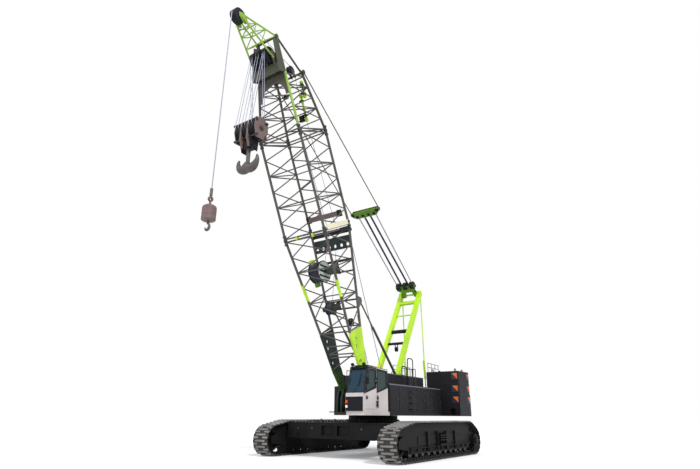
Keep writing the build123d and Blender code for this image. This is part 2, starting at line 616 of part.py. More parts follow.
foot = None
low_x, top_x = FOOT_X + 10, section_at(BOTTOM, PLATE_TOP)[0]
for side in (-1, 1):
    x = sorted((side * (FOOT_X - 60), side * (FOOT_X + 60)))
    p = boom_plate(((-60, -190), (PLATE_LOW + 50, -150), (PLATE_LOW + 50, 510), (-60, 190)), x)
    p += blade([foot_station(PLATE_LOW, side * low_x), foot_station(PLATE_TOP, side * top_x)], 90)
    p += blade([foot_station(u, side * (low_x + (u - PLATE_LOW) / 25), -20) for u in (1880, 1925)], 130)
    p += axle(x, FOOT_Y, FOOT_Z, 190)
    p += axle(sorted((side * 730, side * 860)), *on_boom(*PLATE_HOLES[2][:2])[1:], 190)
    for u, n, r in PLATE_HOLES:
        p -= axle(sorted((side * 650, side * 1000)), *on_boom(u, n)[1:], r)
    p -= axle((x[0] - 5, x[1] + 5), FOOT_Y, FOOT_Z, PIN_R + 1)
    foot = p if foot is None else foot + p
parts["boom_foot_plates"] = Compound(children=foot.solids())

STOP_U, STOP_N = 4300, -840   # pin of the backstops behind the rear chords
GUIDE_U, GUIDE_N = KINK - 210, -1210   # roller that leads the hoist ropes off the drums
bottom = lattice(BOTTOM, 6, first=(PLATE_TOP - 900) / (KINK - 900))
for side in (-1, 1):
    bottom += boom_plate(((STOP_U - 330, -500), (STOP_U + 330, -580), (STOP_U + 90, STOP_N - 90),
                          (STOP_U - 90, STOP_N - 90)),
                         sorted((side * 930.5, side * 975)))
    bottom += boom_plate(((GUIDE_U - 150, -1000), (GUIDE_U + 150, -1040), (GUIDE_U + 70, GUIDE_N - 90),
                          (GUIDE_U - 70, GUIDE_N - 90)),
                         sorted((side * 1120, side * 1160)), holes=((GUIDE_U, GUIDE_N, 35.5),))
# cross tubes and diagonals of the front face between the foot plates
FRONT_BARS = ((PLATE_TOP + 80, -1, 2480, 1), (2480, -1, 2480, 1), (2480, 1, 2060, -1), (2060, -1, 2060, 1),
              (1900, -1, 1900, 1), (2060, 1, 1300, -1))
for u0, side0, u1, side1 in FRONT_BARS:
    ends = [on_boom(u, section_at(BOTTOM, u)[1], side * (section_at(BOTTOM, u)[0] - 8))
            for u, side in ((u0, side0), (u1, side1))]
    bottom += bar(*ends, LACE_R + 4, 6)
# wide plate with a row of holes between the rear chords, over the main winch
SHIELD = (6980, 7620)
low, high = [section_at(BOTTOM, u) for u in SHIELD]
shield_h = SHIELD[1] - SHIELD[0]
bottom += face_plate((SHIELD[0], low[2]), (SHIELD[1], high[2]),
                     ((-low[0], 0), (low[0], 0), (high[0], shield_h), (-high[0], shield_h)), 22,
                     [(x, 190, 95) for x in (-950, -570, -190, 190, 570, 950)])
parts["boom_bottom"] = bottom - foot
parts["boom_insert"] = lattice(INSERT, 6)
# the top section's front face ends in an arched gusset
gusset_low = TOP_END - 1050
low, high = section_at(TOP, gusset_low), section_at(TOP, TOP_END)
arch = face_plate((gusset_low, low[1]), (TOP_END, high[1]),
                  ((-low[0], 0), (low[0], 0), (high[0], 1030), (-high[0], 1030)), 24, [(0, 0, 735)])
parts["boom_top"] = lattice(TOP, 5) + arch

# Head: a box across the front chords, side frames that run up to the eyes, and
# arms from the box to the axle of the sheaves
BOX_TOP = HEAD_U - SHEAVE_R - 30
top_w, top_front, top_rear = TOP[1][1:]
PENDANT_PIN, GUIDE_PIN = (TOP_END + 130, -850), (TOP_END + 420, -740)
eye = (EYE_U, EYE_N, EYE_SIDE)
head = loft([across(u) * Pos(0, -n) * Rectangle(width, depth)
             for u, n, width, depth in ((TOP_END, 740, 2 * top_w + 60, 420),
                                        (BOX_TOP, 690, 2 * top_w - 80, 380))])
head -= loft([across(u) * Pos(0, -n) * Rectangle(width, depth)
              for u, n, width, depth in ((TOP_END - 10, 740, 2 * top_w - 60, 360),
                                         (BOX_TOP - 40, 690, 2 * top_w - 200, 320))])
for side in (-1, 1):
    head += blade([(TOP_END, 760, side * top_w, 470), (EYE_U - 180, 400, side * (EYE_SIDE + 20), 300)], 50)
    head += bar(on_boom(TOP_END, top_front, side * top_w), on_boom(*eye[:2], side * EYE_SIDE), CHORD_R)
    head += bar(on_boom(TOP_END, top_rear, side * top_w), on_boom(*eye[:2], side * EYE_SIDE), 50)
    head += axle(sorted((side * (EYE_SIDE - 60), side * (EYE_SIDE + 60))), *on_boom(EYE_U, EYE_N)[1:], 110)
# pin of the pendants, and the plates of the guide sheaves on the rear cross tube
    head += boom_plate(((TOP_END, -1000), (TOP_END + 260, -760), (TOP_END + 200, -640), (TOP_END, -700)),
                       sorted((side * (top_w - 20), side * (top_w + 20))))
    for x in (140, 360):
        head += boom_plate(((TOP_END + 40, -920), (TOP_END + 180, -920), (TOP_END + 490, -790),
                            (TOP_END + 470, -670),
                            (TOP_END + 380, -660), (TOP_END + 40, -780)),
                            sorted((side * x, side * (x + 20))))
    for x in (200, 625):
        head += boom_plate(((TOP_END + 300, 540), (HEAD_U + 60, HEAD_N - 200), (HEAD_U + 190, HEAD_N),
                            (HEAD_U + 60, HEAD_N + 190),
                            (HEAD_U - 120, HEAD_N + 170), (TOP_END + 300, 900)),
                            sorted((side * (x - 22), side * (x + 22))))
head += axle((-980, 980), *on_boom(*PENDANT_PIN)[1:], 50)
head += axle((140, 380), *on_boom(*GUIDE_PIN)[1:], 40) + axle((-380, -140), *on_boom(*GUIDE_PIN)[1:], 40)
head += axle((-EYE_SIDE, EYE_SIDE), *on_boom(EYE_U, EYE_N)[1:], 60)
head += axle((-660, 660), *on_boom(HEAD_U, HEAD_N)[1:], 60)
parts["boom_head"] = head & boom_slab(TOP_END, EYE_U + 500)

# Tip extension: a short lattice nose that carries the tip sheaves
tip = None
NOSE_REAR = (eye, (TIP_U - 40, TIP_N - 310, 215))
NOSE_FRONT = ((HEAD_U - 220, HEAD_N + 60, 655), (TIP_U - 30, TIP_N + 30, 215))
for side in (-1, 1):
    p = boom_plate(((TIP_U - 380, TIP_N - 330), (TIP_U + 20, TIP_N - 330), (TIP_U + 120, TIP_N - 60),
                    (TIP_U + 110, TIP_N + 90),
                    (TIP_U - 60, TIP_N + 130), (TIP_U - 420, TIP_N - 60)), sorted((side * 190, side * 220)))
    tip = p if tip is None else tip + p
    ends = [[on_boom(u, n, side * x) for u, n, x in chord] for chord in (NOSE_REAR, NOSE_FRONT)]
    for a, b in ends:
        tip += bar(a, b, 42, 6)
    for ta, tb in ((0.02, 0.38), (0.36, 0.38), (0.36, 0.62), (0.66, 0.62), (0.66, 0.80)):
        tip += bar(along(*ends[0], ta), along(*ends[1], tb), 26, 6)
tip += axle((-225, 225), *on_boom(TIP_U, TIP_N)[1:], 40)
for chord, shares in ((NOSE_REAR, (0.36, 0.66)), (NOSE_FRONT, (0.38, 0.62, 0.76))):
    for t, t2 in zip(shares, shares[1:] + (None,)):
        u, n, x = along(*chord, t)
        tip += bar(on_boom(u, n, -x), on_boom(u, n, x), 26, 6)
        if t2:
            u2, n2, x2 = along(*chord, t2)
            tip += bar(on_boom(u, n, -x), on_boom(u2, n2, x2), 22, 6)
tip -= parts["boom_head"]
parts["tip_extension"] = Compound(children=[s for s in tip.solids() if s.volume > 1e6])

# Sheave nests that turn on the head axle and on the tip axle
head_axle, tip_axle = on_boom(HEAD_U, HEAD_N), on_boom(TIP_U, TIP_N)
HEAD_SHEAVES = (-445, -325, -80, 80, 325, 445)
nest = fuse(*[sheave(x, *head_axle[1:], SHEAVE_R, 100, 60.6) for x in HEAD_SHEAVES])
parts["head_sheaves"] = Compound(children=nest.solids())
parts["tip_sheave"] = fuse(*[sheave(x, *tip_axle[1:], SHEAVE_R - 55, 112, 40.6) for x in (-111, 0, 111)])
# sheaves behind the head and the roller over the winches, which lead the hoist ropes
guide_axle = on_boom(*GUIDE_PIN)
guides = [sheave(side * 260, *guide_axle[1:], 230, 170, 40.6) for side in (-1, 1)]
roller = on_boom(GUIDE_U, GUIDE_N)[1:]
guides.append(axle((-1112, 1112), *roller, 110) + axle((-1155, 1155), *roller, 35))
parts["rope_guides"] = Compound(children=[s for g in guides for s in g.solids()])

# Winches inside the bottom section: side plates on cross tubes between the rear
# chords, with the gear case of each drum outside its right-hand plate
# drum: u, n, flange radius, core radius, right and left end
MAIN_DRUM = (6150, 100, 650, 520, -700, 150)
AUX_DRUM = (4240, 60, 430, 300, -560, -150)
frames = None
for name, (u, n, r, core, x0, x1) in (("main_drum", MAIN_DRUM), ("aux_drum", AUX_DRUM)):
    half, front, rear = section_at(BOTTOM, u)
    y, z = on_boom(u, n)[1:]
    for x in (x0 - 45, x1 + 15):
        p = boom_plate(((u - r * 0.6, rear - 30), (u + r * 0.6, rear - 30), (u + r * 0.22, n + r * 0.1),
                        (u + r * 0.12, n + r * 0.28), (u - r * 0.12, n + r * 0.28),
                        (u - r * 0.22, n + r * 0.1)), (x, x + 30))
        frames = p if frames is None else frames + p
    frames += axle((x0 - 45, x1 + 45), y, z, 60) + axle((x0 - 170, x0 - 40), y, z, r * 0.3)
    for du in (-r * 0.45, r * 0.45):
        ru = u + du
        w, _, behind = section_at(BOTTOM, ru)
        frames += bar(on_boom(ru, behind, -w), on_boom(ru, behind, w), 45, 6)
    drum = axle((x0, x1), y, z, core)
    for flange in ((x0, x0 + 40), (x1 - 40, x1)):
        drum += axle(flange, y, z, r)
    parts[name] = drum - axle((x0 - 5, x1 + 5), y, z, 60)
frames -= bottom
parts["winch_frames"] = frames

# Pendants: flat bars from the top section's rear knuckles down to the bridle
pend = None
top_eye, low_eye = on_boom(*PENDANT_PIN), on_rope(rope + 60)
for side in (-1, 1):
    top, low = (side * 930, *top_eye[1:]), (side * (BRIDLE_W + 56), *low_eye[1:])
    p = bar(top, low, 32, 4) + axle((top[0] - 28, top[0] + 28), *top[1:], 110)
    p += axle(sorted((side * (BRIDLE_W + 0.5), side * (BRIDLE_W + 70))), *low[1:], 110)
    pend = p if pend is None else pend + p
pend -= parts["boom_head"]
parts["pendants"] = Compound(children=pend.solids())

# Backstops: a tube on the revolving frame and a rod to the boom's rear chord
STOP_PIN = on_boom(STOP_U, STOP_N)
fy, fz = BACKSTOP_FOOT
reach = hypot(STOP_PIN[1] - fy, STOP_PIN[2] - fz)
dy, dz = (STOP_PIN[1] - fy) / reach, (STOP_PIN[2] - fz) / reach


def on_stop(s, x):
    return (x, fy + s * dy, fz + s * dz)


tubes, rods = None, None
for side in (-1, 1):
    x = side * BACKSTOP_X
    t = rod(on_stop(60, x), on_stop(3400, x), 65, 44) + rod(on_stop(60, x), on_stop(400, x), 65)
    t += axle((x - 66, x + 66), fy, fz, 100)
    t -= axle((x - 70, x + 70), fy, fz, 45.5)
    r = rod(on_stop(1750, x), on_stop(reach - 60, x), 38) + axle((x - 40, x + 40), *STOP_PIN[1:], 90)
    r -= axle((x - 50, x + 50), *STOP_PIN[1:], 42)
    tubes = t if tubes is None else tubes + t
    rods = r if rods is None else rods + r
parts["backstop_tubes"] = Compound(children=tubes.solids())
parts["backstop_rods"] = Compound(children=rods.solids())

# Main hook block, hanging straight down from the front of the head sheaves
fall_y, fall_z = head_axle[1] - SHEAVE_R + 20, 13450
BLOCK_X, BLOCK_R = (-600, -200, 200, 600), 500
CHEEK = ((-0.62, 0.98), (-0.25, 1.16), (0.5, 1.16), (1.0, 0.62), (1.0, -0.35), (0.5, -1.15),
         (-0.1, -1.2), (-0.95, -0.35),
         (-0.95, 0.4))
block_sheaves = fuse(*[sheave(x + dx, fall_y, fall_z, BLOCK_R - 40, 80) for x in (-400, 0,
                                                                                  400) for dx in (-90, 0,
                                                                                                  90)],
                     axle((-600, 600), fall_y, fall_z, 110))
cheeks = [side_plate([(fall_y + y * BLOCK_R, fall_z + z * BLOCK_R) for y, z in CHEEK], (x - t, x + t))
          for x, t in zip(BLOCK_X, (45, 25, 25, 45))]
ties = [axle((-600, 600), fall_y + y * BLOCK_R, fall_z + z * BLOCK_R, 40) for y,
        z in ((-0.8, 0.62), (0.8, 0.62))]
cross = block((-330, 330), (fall_y - 190, fall_y + 190), (fall_z - 860, fall_z - 700))
hangers = [side_plate([(fall_y + y, fall_z + z) for y, z in ((-190, -480), (190, -480), (190, -860),
                                                             (-190, -860))],
                      sorted((side * 175, side * 225))) for side in (-1, 1)]
well = fuse(rod((0, fall_y, fall_z - 1000), (0, fall_y, fall_z - 560), 96),
            rod((0, fall_y, fall_z - 699.5), (0, fall_y, fall_z - 560), 150))
parts["hook_block"] = fuse(block_sheaves, *cheeks, *ties, cross, *hangers) - well


def horn(side, path):
    """Horn of a hook: circles lofted along a path of (x, z, radius)."""
    rings = []
    for i, (x, z, r) in enumerate(path):
        ahead, back = path[min(i + 1, len(path) - 1)], path[max(i - 1, 0)]
        run = Vector(side * (ahead[0] - back[0]), 0, ahead[1] - back[1])
        rings.append(Plane(origin=(side * x, 0, z), x_dir=(0, 1, 0), z_dir=run) * Circle(r))
    return loft(rings)


hook = rod((0, 0, -1560), (0, 0, -620), 88) + rod((0, 0, -699), (0, 0, -620), 140)
HORN = ((0, -1660, 190), (160, -1800, 200), (360, -1760, 175), (510, -1600, 125), (560, -1420, 80),
        (520, -1270, 40))
hook += horn(1, HORN) + horn(-1, HORN) + Pos(0, 0, -1660) * Sphere(190)
parts["ramshorn_hook"] = Pos(0, fall_y, fall_z) * hook

# Auxiliary line: socket, ball weight and a small swivel hook
aux_y, aux_z = tip_axle[1] - SHEAVE_R + 40, 9040
BARREL = ((0, 330), (70, 330), (90, 300), (190, 285), (255, 235), (275, 170), (275, -110), (262, -120),
          (262, -165),
          (275, -175), (275, -300), (240, -330), (0, -330))
profile = Plane(origin=(0, 0, 0), x_dir=(1, 0, 0), z_dir=(0, -1, 0)) * Polygon(*BARREL, align=None)
weight = revolve(profile, Axis.Z, 360)
weight += rod((0, 0, 320), (0, 0, 480), 45) + axle((-40, 40), 0, 560, 110, 55)
weight += rod((0, 0, 640), (0, 0, 720), 45) + rod((0, 0, 700), (0, 0, 1000), 60)
weight -= rod((0, 0, -340), (0, 0, -180), 42.6)
parts["aux_weight"] = Pos(0, aux_y, aux_z) * weight
small = rod((0, 0, -470), (0, 0, -181), 42)
SMALL_HORN = ((0, -440, 42), (55, -480, 44), (95, -545, 48), (90, -625, 52), (30, -690, 54),
              (-50, -700, 46),
              (-110, -655, 34), (-125, -590, 20))
small += horn(1, SMALL_HORN)
parts["aux_hook"] = Pos(0, aux_y, aux_z) * small

# ----------------------------------------------------------------------------
os.makedirs("parts", exist_ok=True)
for name, shape in parts.items():
    export_step(shape, f"parts/{name}.step")
    print(name, len(shape.solids()), round(shape.volume / 1e9, 3), "m3")
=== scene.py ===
# %% [markdown]
# # Dressing a crawler crane
# The crane comes in as a finished frame: every main piece stands at its place, in metres, with
# +Z up, the machine looking towards -Y and +X on its left. This file gives each piece its
# finish and adds what a draughtsman leaves out: ropes, shoes with worn lugs, seals, lamps, bolts.

# %% Load the frame
import math

import bmesh
import bpy
from mathutils import Matrix, Vector, geometry


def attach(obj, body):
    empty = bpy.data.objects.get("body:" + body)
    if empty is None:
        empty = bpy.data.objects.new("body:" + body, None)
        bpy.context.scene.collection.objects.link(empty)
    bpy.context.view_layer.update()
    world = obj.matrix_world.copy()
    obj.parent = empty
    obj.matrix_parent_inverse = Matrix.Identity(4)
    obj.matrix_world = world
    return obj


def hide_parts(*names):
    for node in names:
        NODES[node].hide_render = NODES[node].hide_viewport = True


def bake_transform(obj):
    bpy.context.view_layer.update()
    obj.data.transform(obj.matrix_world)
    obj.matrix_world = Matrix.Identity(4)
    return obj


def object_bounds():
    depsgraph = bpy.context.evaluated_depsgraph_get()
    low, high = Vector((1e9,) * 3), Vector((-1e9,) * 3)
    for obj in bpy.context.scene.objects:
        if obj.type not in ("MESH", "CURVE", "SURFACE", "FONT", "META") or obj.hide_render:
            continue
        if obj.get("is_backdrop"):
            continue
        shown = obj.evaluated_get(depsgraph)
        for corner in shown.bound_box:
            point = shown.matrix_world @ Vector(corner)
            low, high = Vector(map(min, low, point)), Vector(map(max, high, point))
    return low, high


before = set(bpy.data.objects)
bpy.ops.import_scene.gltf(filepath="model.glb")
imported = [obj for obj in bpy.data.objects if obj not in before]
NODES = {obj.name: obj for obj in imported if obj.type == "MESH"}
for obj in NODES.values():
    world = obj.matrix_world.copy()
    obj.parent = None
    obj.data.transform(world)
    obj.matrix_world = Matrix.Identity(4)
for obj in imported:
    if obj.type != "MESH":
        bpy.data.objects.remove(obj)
CAD_LOW, CAD_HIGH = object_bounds()

# %% [markdown]
# ## Camera
# A crane is best seen from low down, near its own length away, so that the boom towers over
# the viewer. A 25 mm lens on a full-size sensor takes in the whole boom from there. The camera
# is turned by three plain angles: round the vertical, up towards the boom, and a slight roll.

# %% Place the camera
CAMERA_PLACE = (14.238, -23.036, 1.835)
LENS, SENSOR = 25.443, 36.0
TURN, LIFT, ROLL = 0.600, 0.351, 0.008

camera = bpy.data.objects.new("camera", bpy.data.cameras.new("camera"))
bpy.context.collection.objects.link(camera)
camera.data.lens, camera.data.sensor_width = LENS, SENSOR
camera.data.clip_end = 500
camera.matrix_world = (Matrix.Translation(CAMERA_PLACE) @ Matrix.Rotation(TURN, 4, "Z")
                       @ Matrix.Rotation(math.pi / 2 + LIFT, 4, "X") @ Matrix.Rotation(ROLL, 4, "Z"))
bpy.context.scene.camera = camera
print("camera stands", round(Vector(CAMERA_PLACE).length, 1), "m from the slew centre")

# %% [markdown]
# ## Studio
# Outdoor paint is judged best under a wide soft light. A bright world gives the soft part, one
# sun gives direction and shadow. What the camera and clear glass see of the world is plain
# white, and the floor is a pale disc that keeps the shadow of the machine. The short helpers
# that make and join shader nodes come first, because the world is made of nodes as well.

# %% Helpers that build shaders
def feed(tree, made, values):
    """Links the inputs of a node to sockets, or sets them to plain values."""
    for label, source in values.items():
        if isinstance(source, bpy.types.NodeSocket):
            tree.links.new(source, made.inputs[label])
        else:
            made.inputs[label].default_value = source
    return made


def node(tree, kind, values=None, **settings):
    """A new shader node with its settings made and its inputs linked or set."""
    made = tree.nodes.new("ShaderNode" + kind)
    for key, value in settings.items():
        setattr(made, key, value)
    return feed(tree, made, values or {})


def first(tree, kind, values, **settings):
    """First output of a new node."""
    return node(tree, kind, values, **settings).outputs[0]


def maths(tree, a, b, kind="MULTIPLY"):
    return first(tree, "Math", {0: a, 1: b}, operation=kind)


def ramp(tree, value, low, high, out_low=0.0, out_high=1.0):
    return first(tree, "MapRange", {"Value": value, "From Min": low, "From Max": high,
                                              "To Min": out_low, "To Max": out_high})


def noise(tree, place, scale, detail):
    """Soft patches; the rougher the detail, the more broken their edges."""
    return first(tree, "TexNoise", {"Vector": place, "Scale": scale, "Detail": detail, "Roughness": 0.55})


def own(tree, label, axis=None):
    """Place ("Object") or direction ("Normal") in the piece's own axes, whole or along one axis."""
    found = node(tree, "TexCoord").outputs[label]
    return node(tree, "SeparateXYZ", {0: found}).outputs[axis] if axis else found


def rgba(colour):
    return (*colour, 1.0)


print("shader helpers ready")

# %% Light the studio
SKY_STRENGTH, SUN_STRENGTH, FILL_STRENGTH = 0.80, 1.9, 0.7
SKY_COLOUR, WHITE = (0.90, 0.94, 1.0), (1, 1, 1)


def world_nodes():
    """A sky that lights the scene, and plain white for what the camera and clear glass see."""
    world = bpy.data.worlds.new("studio")
    bpy.context.scene.world = world
    world.use_nodes = True
    tree = world.node_tree
    tree.nodes.clear()
    light = first(tree, "Background", {"Color": rgba(SKY_COLOUR), "Strength": SKY_STRENGTH})
    seen = first(tree, "Background", {"Color": rgba(WHITE), "Strength": 1.0})
    path = node(tree, "LightPath").outputs
    either = maths(tree, path["Is Camera Ray"], path["Is Transmission Ray"], "MAXIMUM")
    mixed = first(tree, "MixShader", {0: either, 1: light, 2: seen})
    node(tree, "OutputWorld", {"Surface": mixed})


def sun(name, strength, lean, turn, angle):
    """Sun lamp; lean from the vertical, turn round it and apparent size are in degrees."""
    lamp = bpy.data.objects.new(name, bpy.data.lights.new(name, "SUN"))
    bpy.context.collection.objects.link(lamp)
    lamp.data.energy, lamp.data.angle = strength, math.radians(angle)
    lamp.rotation_euler = (math.radians(lean), 0, math.radians(turn))


world_nodes()
sun("key", SUN_STRENGTH, 48, 62, 6)
sun("fill", FILL_STRENGTH, 62, -20, 30)
bpy.context.scene.view_settings.view_transform = "Standard"
print("studio lit: sky", SKY_STRENGTH, "sun", SUN_STRENGTH)

# %% [markdown]
# ## Mesh helpers
# Nearly all that is added is made from three forms: a closed ring swept along a line (tubes,
# ropes, rails), a flat outline given a thickness (plates, panels), and a profile turned about
# an axle (rollers, lamps, bolts). Each helper adds its form to a bmesh, so that many small things
# become one joined mesh.

# %% Helpers that build meshes
ACROSS, UP = (1, 0, 0), (0, 0, 1)
LOOKS = {}                              # finishes by name
BEVELLED_FROM, SHARP_FROM = 40, 35      # degrees between two faces


def circle(radius, count, phase=0.0):
    """Evenly spaced points round a circle, as pairs."""
    turns = (phase + 2 * math.pi * k / count for k in range(count))
    return [(radius * math.cos(t), radius * math.sin(t)) for t in turns]


def frame_of(direction):
    """Two unit vectors square to direction and to each other."""
    d = Vector(direction).normalized()
    side = d.cross(Vector(UP))
    if side.length < 1e-4:
        side = d.cross(Vector(ACROSS))
    side.normalize()
    return side, d.cross(side).normalized()


def ring(bm, centre, a, b, radius, sides):
    return [bm.verts.new(Vector(centre) + a * c + b * s) for c, s in circle(radius, sides)]


def skin(bm, low, high):
    n = len(low)
    for k in range(n):
        bm.faces.new((low[k], low[(k + 1) % n], high[(k + 1) % n], high[k]))


def closed_form(bm, rings):
    """Skins a row of rings of vertices and closes both ends."""
    for low, high in zip(rings, rings[1:]):
        skin(bm, low, high)
    bm.faces.new(rings[0][::-1])
    bm.faces.new(rings[-1])


def block(bm, low, high):
    """Closed form between two outlines of equally many points."""
    closed_form(bm, [[bm.verts.new(p) for p in outline] for outline in (low, high)])


def tube(bm, p, q, radius, sides, end_radius=None):
    """Straight round bar from p to q with closed ends."""
    a, b = frame_of(Vector(q) - Vector(p))
    closed_form(bm, [ring(bm, p, a, b, radius, sides), ring(bm, q, a, b, end_radius or radius, sides)])


def sweep(bm, points, radius, sides, closed=False):
    """Round bar along a line of points, mitred at each one."""
    points = [Vector(p) for p in points]
    n = len(points)
    rings, side = [], None
    for i, p in enumerate(points):
        ahead = points[(i + 1) % n] if closed or i < n - 1 else p
        back = points[i - 1] if closed or i > 0 else p
        run = (ahead - back).normalized()
        side = frame_of(run)[0] if side is None else side
        side = (side - run * side.dot(run)).normalized()
        into = (p - back).normalized() if (p - back).length > 1e-9 else run
        stretch = 1 / max(0.5, abs(run.dot(into)))
        rings.append(ring(bm, p, side, run.cross(side).normalized(), radius * stretch, sides))
    if closed:
        for low, high in zip(rings, rings[1:] + rings[:1]):
            skin(bm, low, high)
    else:
        closed_form(bm, rings)


def staple(bm, a, b, out, inset, radius):
    """Round bar that runs from a outwards, along and back to b; its corners stand in by inset."""
    a, b, out = Vector(a), Vector(b), Vector(out)
    step = (b - a).normalized() * inset
    sweep(bm, [a, a + out + step, b + out - step, b], radius, 8)


def turned(bm, profile, centre, direction, sides):
    """Profile of (distance along the axle, radius) turned about the axle."""
    a, b = frame_of(direction)
    d = Vector(direction).normalized()
    closed_form(bm, [ring(bm, Vector(centre) + d * s, a, b, max(r, 1e-4), sides) for s, r in profile])


def disc(bm, centre, direction, half, radius, sides):
    """Plain disc, half its thickness to each side of the centre."""
    turned(bm, [(-half, radius), (half, radius)], centre, direction, sides)


def bolt(bm, foot, direction, radius, height):
    """Hexagonal head that stands on its foot."""
    turned(bm, [(0, radius), (height, radius)], foot, direction, 6)


def barrel(bm, centre, direction, ends, belly, sides):
    """Turned bar with two like ends; ends and belly are (half length, radius)."""
    half = [ends, belly]
    turned(bm, [(-s, r) for s, r in half] + half[::-1], centre, direction, sides)


def plate(bm, outline, thick):
    """Flat outline of 3-D points moved along thick to make a closed plate."""
    block(bm, [Vector(p) for p in outline], [Vector(p) + Vector(thick) for p in outline])


def border(bm, inner, outer, thick):
    """Flat band between two outlines of equally many points, with a thickness."""
    flat, raised = Vector(), Vector(thick)
    rings = [[bm.verts.new(Vector(p) + shift) for p in line]
             for line, shift in ((inner, flat), (outer, flat), (outer, raised), (inner, raised))]
    for a, b in zip(rings, rings[1:] + rings[:1]):
        skin(bm, a, b)


def brick(bm, x, y, z):
    """Block between the pairs x, y and z, each in any order."""
    (x0, x1), (y0, y1), (z0, z1) = sorted(x), sorted(y), sorted(z)
    plate(bm, [(x0, y0, z0), (x1, y0, z0), (x1, y1, z0), (x0, y1, z0)], (0, 0, z1 - z0))


def piece(name, bm, look, body, bevel=0.0):
    """Turns a bmesh into an object with a finish, on its body."""
    bmesh.ops.remove_doubles(bm, verts=bm.verts, dist=1e-6)
    bmesh.ops.recalc_face_normals(bm, faces=bm.faces)
    mesh = bpy.data.meshes.new(name)
    bm.to_mesh(mesh)
    bm.free()
    obj = bpy.data.objects.new(name, mesh)
    bpy.context.collection.objects.link(obj)
    mesh.materials.append(LOOKS[look])
    for face in mesh.polygons:
        face.use_smooth = True
    if bevel:
        soft = obj.modifiers.new("soft edges", "BEVEL")
        soft.width, soft.segments, soft.limit_method = bevel, 1, "ANGLE"
        soft.angle_limit = math.radians(BEVELLED_FROM)
        soft.harden_normals = True
    else:
        mesh.set_sharp_from_angle(angle=math.radians(SHARP_FROM))
    if body:
        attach(obj, body)
    return obj


print("mesh helpers ready")

# %% [markdown]
# ## Shared effects
# Dirt, worn edges and cast grain turn up on most finishes, so each is built once as a node group
# with named inputs. A group only works out masks, colours and heights; the shader that uses them
# stays in the material. The edge mask compares the true normal with one rounded by a Bevel node,
# which finds corners on any mesh, however few vertices it has.

# %% Build the node groups
def new_group(name, outputs, **inputs):
    """Empty group of plain numbers: its tree, its inputs as sockets and its output node."""
    tree = bpy.data.node_groups.new(name, "ShaderNodeTree")
    for label, value in inputs.items():
        tree.interface.new_socket(label, in_out="INPUT", socket_type="NodeSocketFloat").default_value = value
    for label in outputs:
        tree.interface.new_socket(label, in_out="OUTPUT", socket_type="NodeSocketFloat")
    return tree, tree.nodes.new("NodeGroupInput").outputs, tree.nodes.new("NodeGroupOutput")


def worn_edges():
    tree, given, out = new_group("worn edges", ["Mask"], Reach=0.01, Amount=1.0, Breakup=6.0)
    rounded = first(tree, "Bevel", {"Radius": given["Reach"]}, samples=4)
    true = node(tree, "NewGeometry").outputs["Normal"]
    match = node(tree, "VectorMath", {0: rounded, 1: true}, operation="DOT_PRODUCT").outputs["Value"]
    edge = ramp(tree, match, 0.995, 0.86)
    chips = ramp(tree, noise(tree, own(tree, "Object"), given["Breakup"], 5.0), 0.38, 0.62)
    feed(tree, out, {"Mask": maths(tree, maths(tree, edge, chips), given["Amount"])})
    return tree


def settled_dirt():
    tree, given, out = new_group("settled dirt", ["Mask"], Scale=1.5, Amount=0.4, Fall=0.5)
    place = own(tree, "Object")
    patches = ramp(tree, noise(tree, place, given["Scale"], 6.0), 0.35, 0.75)
    stretched = first(tree, "Mapping", {"Vector": place, "Scale": (9.0, 9.0, 0.6)})
    runs = ramp(tree, noise(tree, stretched, 1.0, 4.0), 0.5, 0.75)
    streaks = maths(tree, runs, given["Fall"])
    ledge = ramp(tree, own(tree, "Normal", "Z"), 0.2, 1.0, 0.55, 1.0)
    both = maths(tree, maths(tree, patches, ledge), streaks, "MAXIMUM")
    feed(tree, out, {"Mask": maths(tree, both, given["Amount"])})
    return tree


def cast_grain():
    tree, given, out = new_group("cast grain", ["Height", "Shade"], Scale=40.0, Depth=0.3)
    place = own(tree, "Object")
    fine = noise(tree, place, given["Scale"], 4.0)
    broad = noise(tree, place, 0.9, 5.0)
    feed(tree, out, {"Height": maths(tree, fine, given["Depth"]),
                     "Shade": ramp(tree, broad, 0.3, 0.7, 0.82, 1.12)})
    return tree


EDGES, DIRT, GRAIN = worn_edges(), settled_dirt(), cast_grain()
print("node groups:", EDGES.name, "/", DIRT.name, "/", GRAIN.name)

# %% [markdown]
# ## Finishes
# Every rigid surface here is some kind of painted or bare steel. One function mixes them: a base
# colour that drifts a little, chipped edges that show primer or bright metal, dust that settles on
# ledges and runs down, and a fine grain in the gloss. The values say how new or worn a piece is.

# %% Make the finishes
DULLED = 0.35       # roughness that full dirt adds


def place_group(tree, group, **values):
    made = tree.nodes.new("ShaderNodeGroup")
    made.node_tree = group
    return feed(tree, made, values).outputs


def blended(tree, factor, a, b):
    """Colour between a and b."""
    made = node(tree, "Mix", data_type="RGBA", blend_type="MIX")
    for label, value in (("Factor", factor), ("A", a), ("B", b)):
        if isinstance(value, bpy.types.NodeSocket):
            tree.links.new(value, made.inputs[label])
        else:
            made.inputs[label].default_value = value
    return made.outputs["Result"]


def grained(tree, colour, scale):
    """The colour with a drifting shade, and the height of a fine grain."""
    grain = place_group(tree, GRAIN, Scale=scale, Depth=1.0)
    shade = first(tree, "VectorMath", {0: colour, "Scale": grain["Shade"]}, operation="SCALE")
    return shade, grain["Height"]


def bumped(tree, height, strength, distance):
    return first(tree, "Bump", {"Height": height, "Strength": strength, "Distance": distance})


def new_look(name):
    """A finish in the list: its tree and its shader."""
    LOOKS[name] = bpy.data.materials.new(name)
    LOOKS[name].use_nodes = True
    tree = LOOKS[name].node_tree
    return tree, tree.nodes["Principled BSDF"]


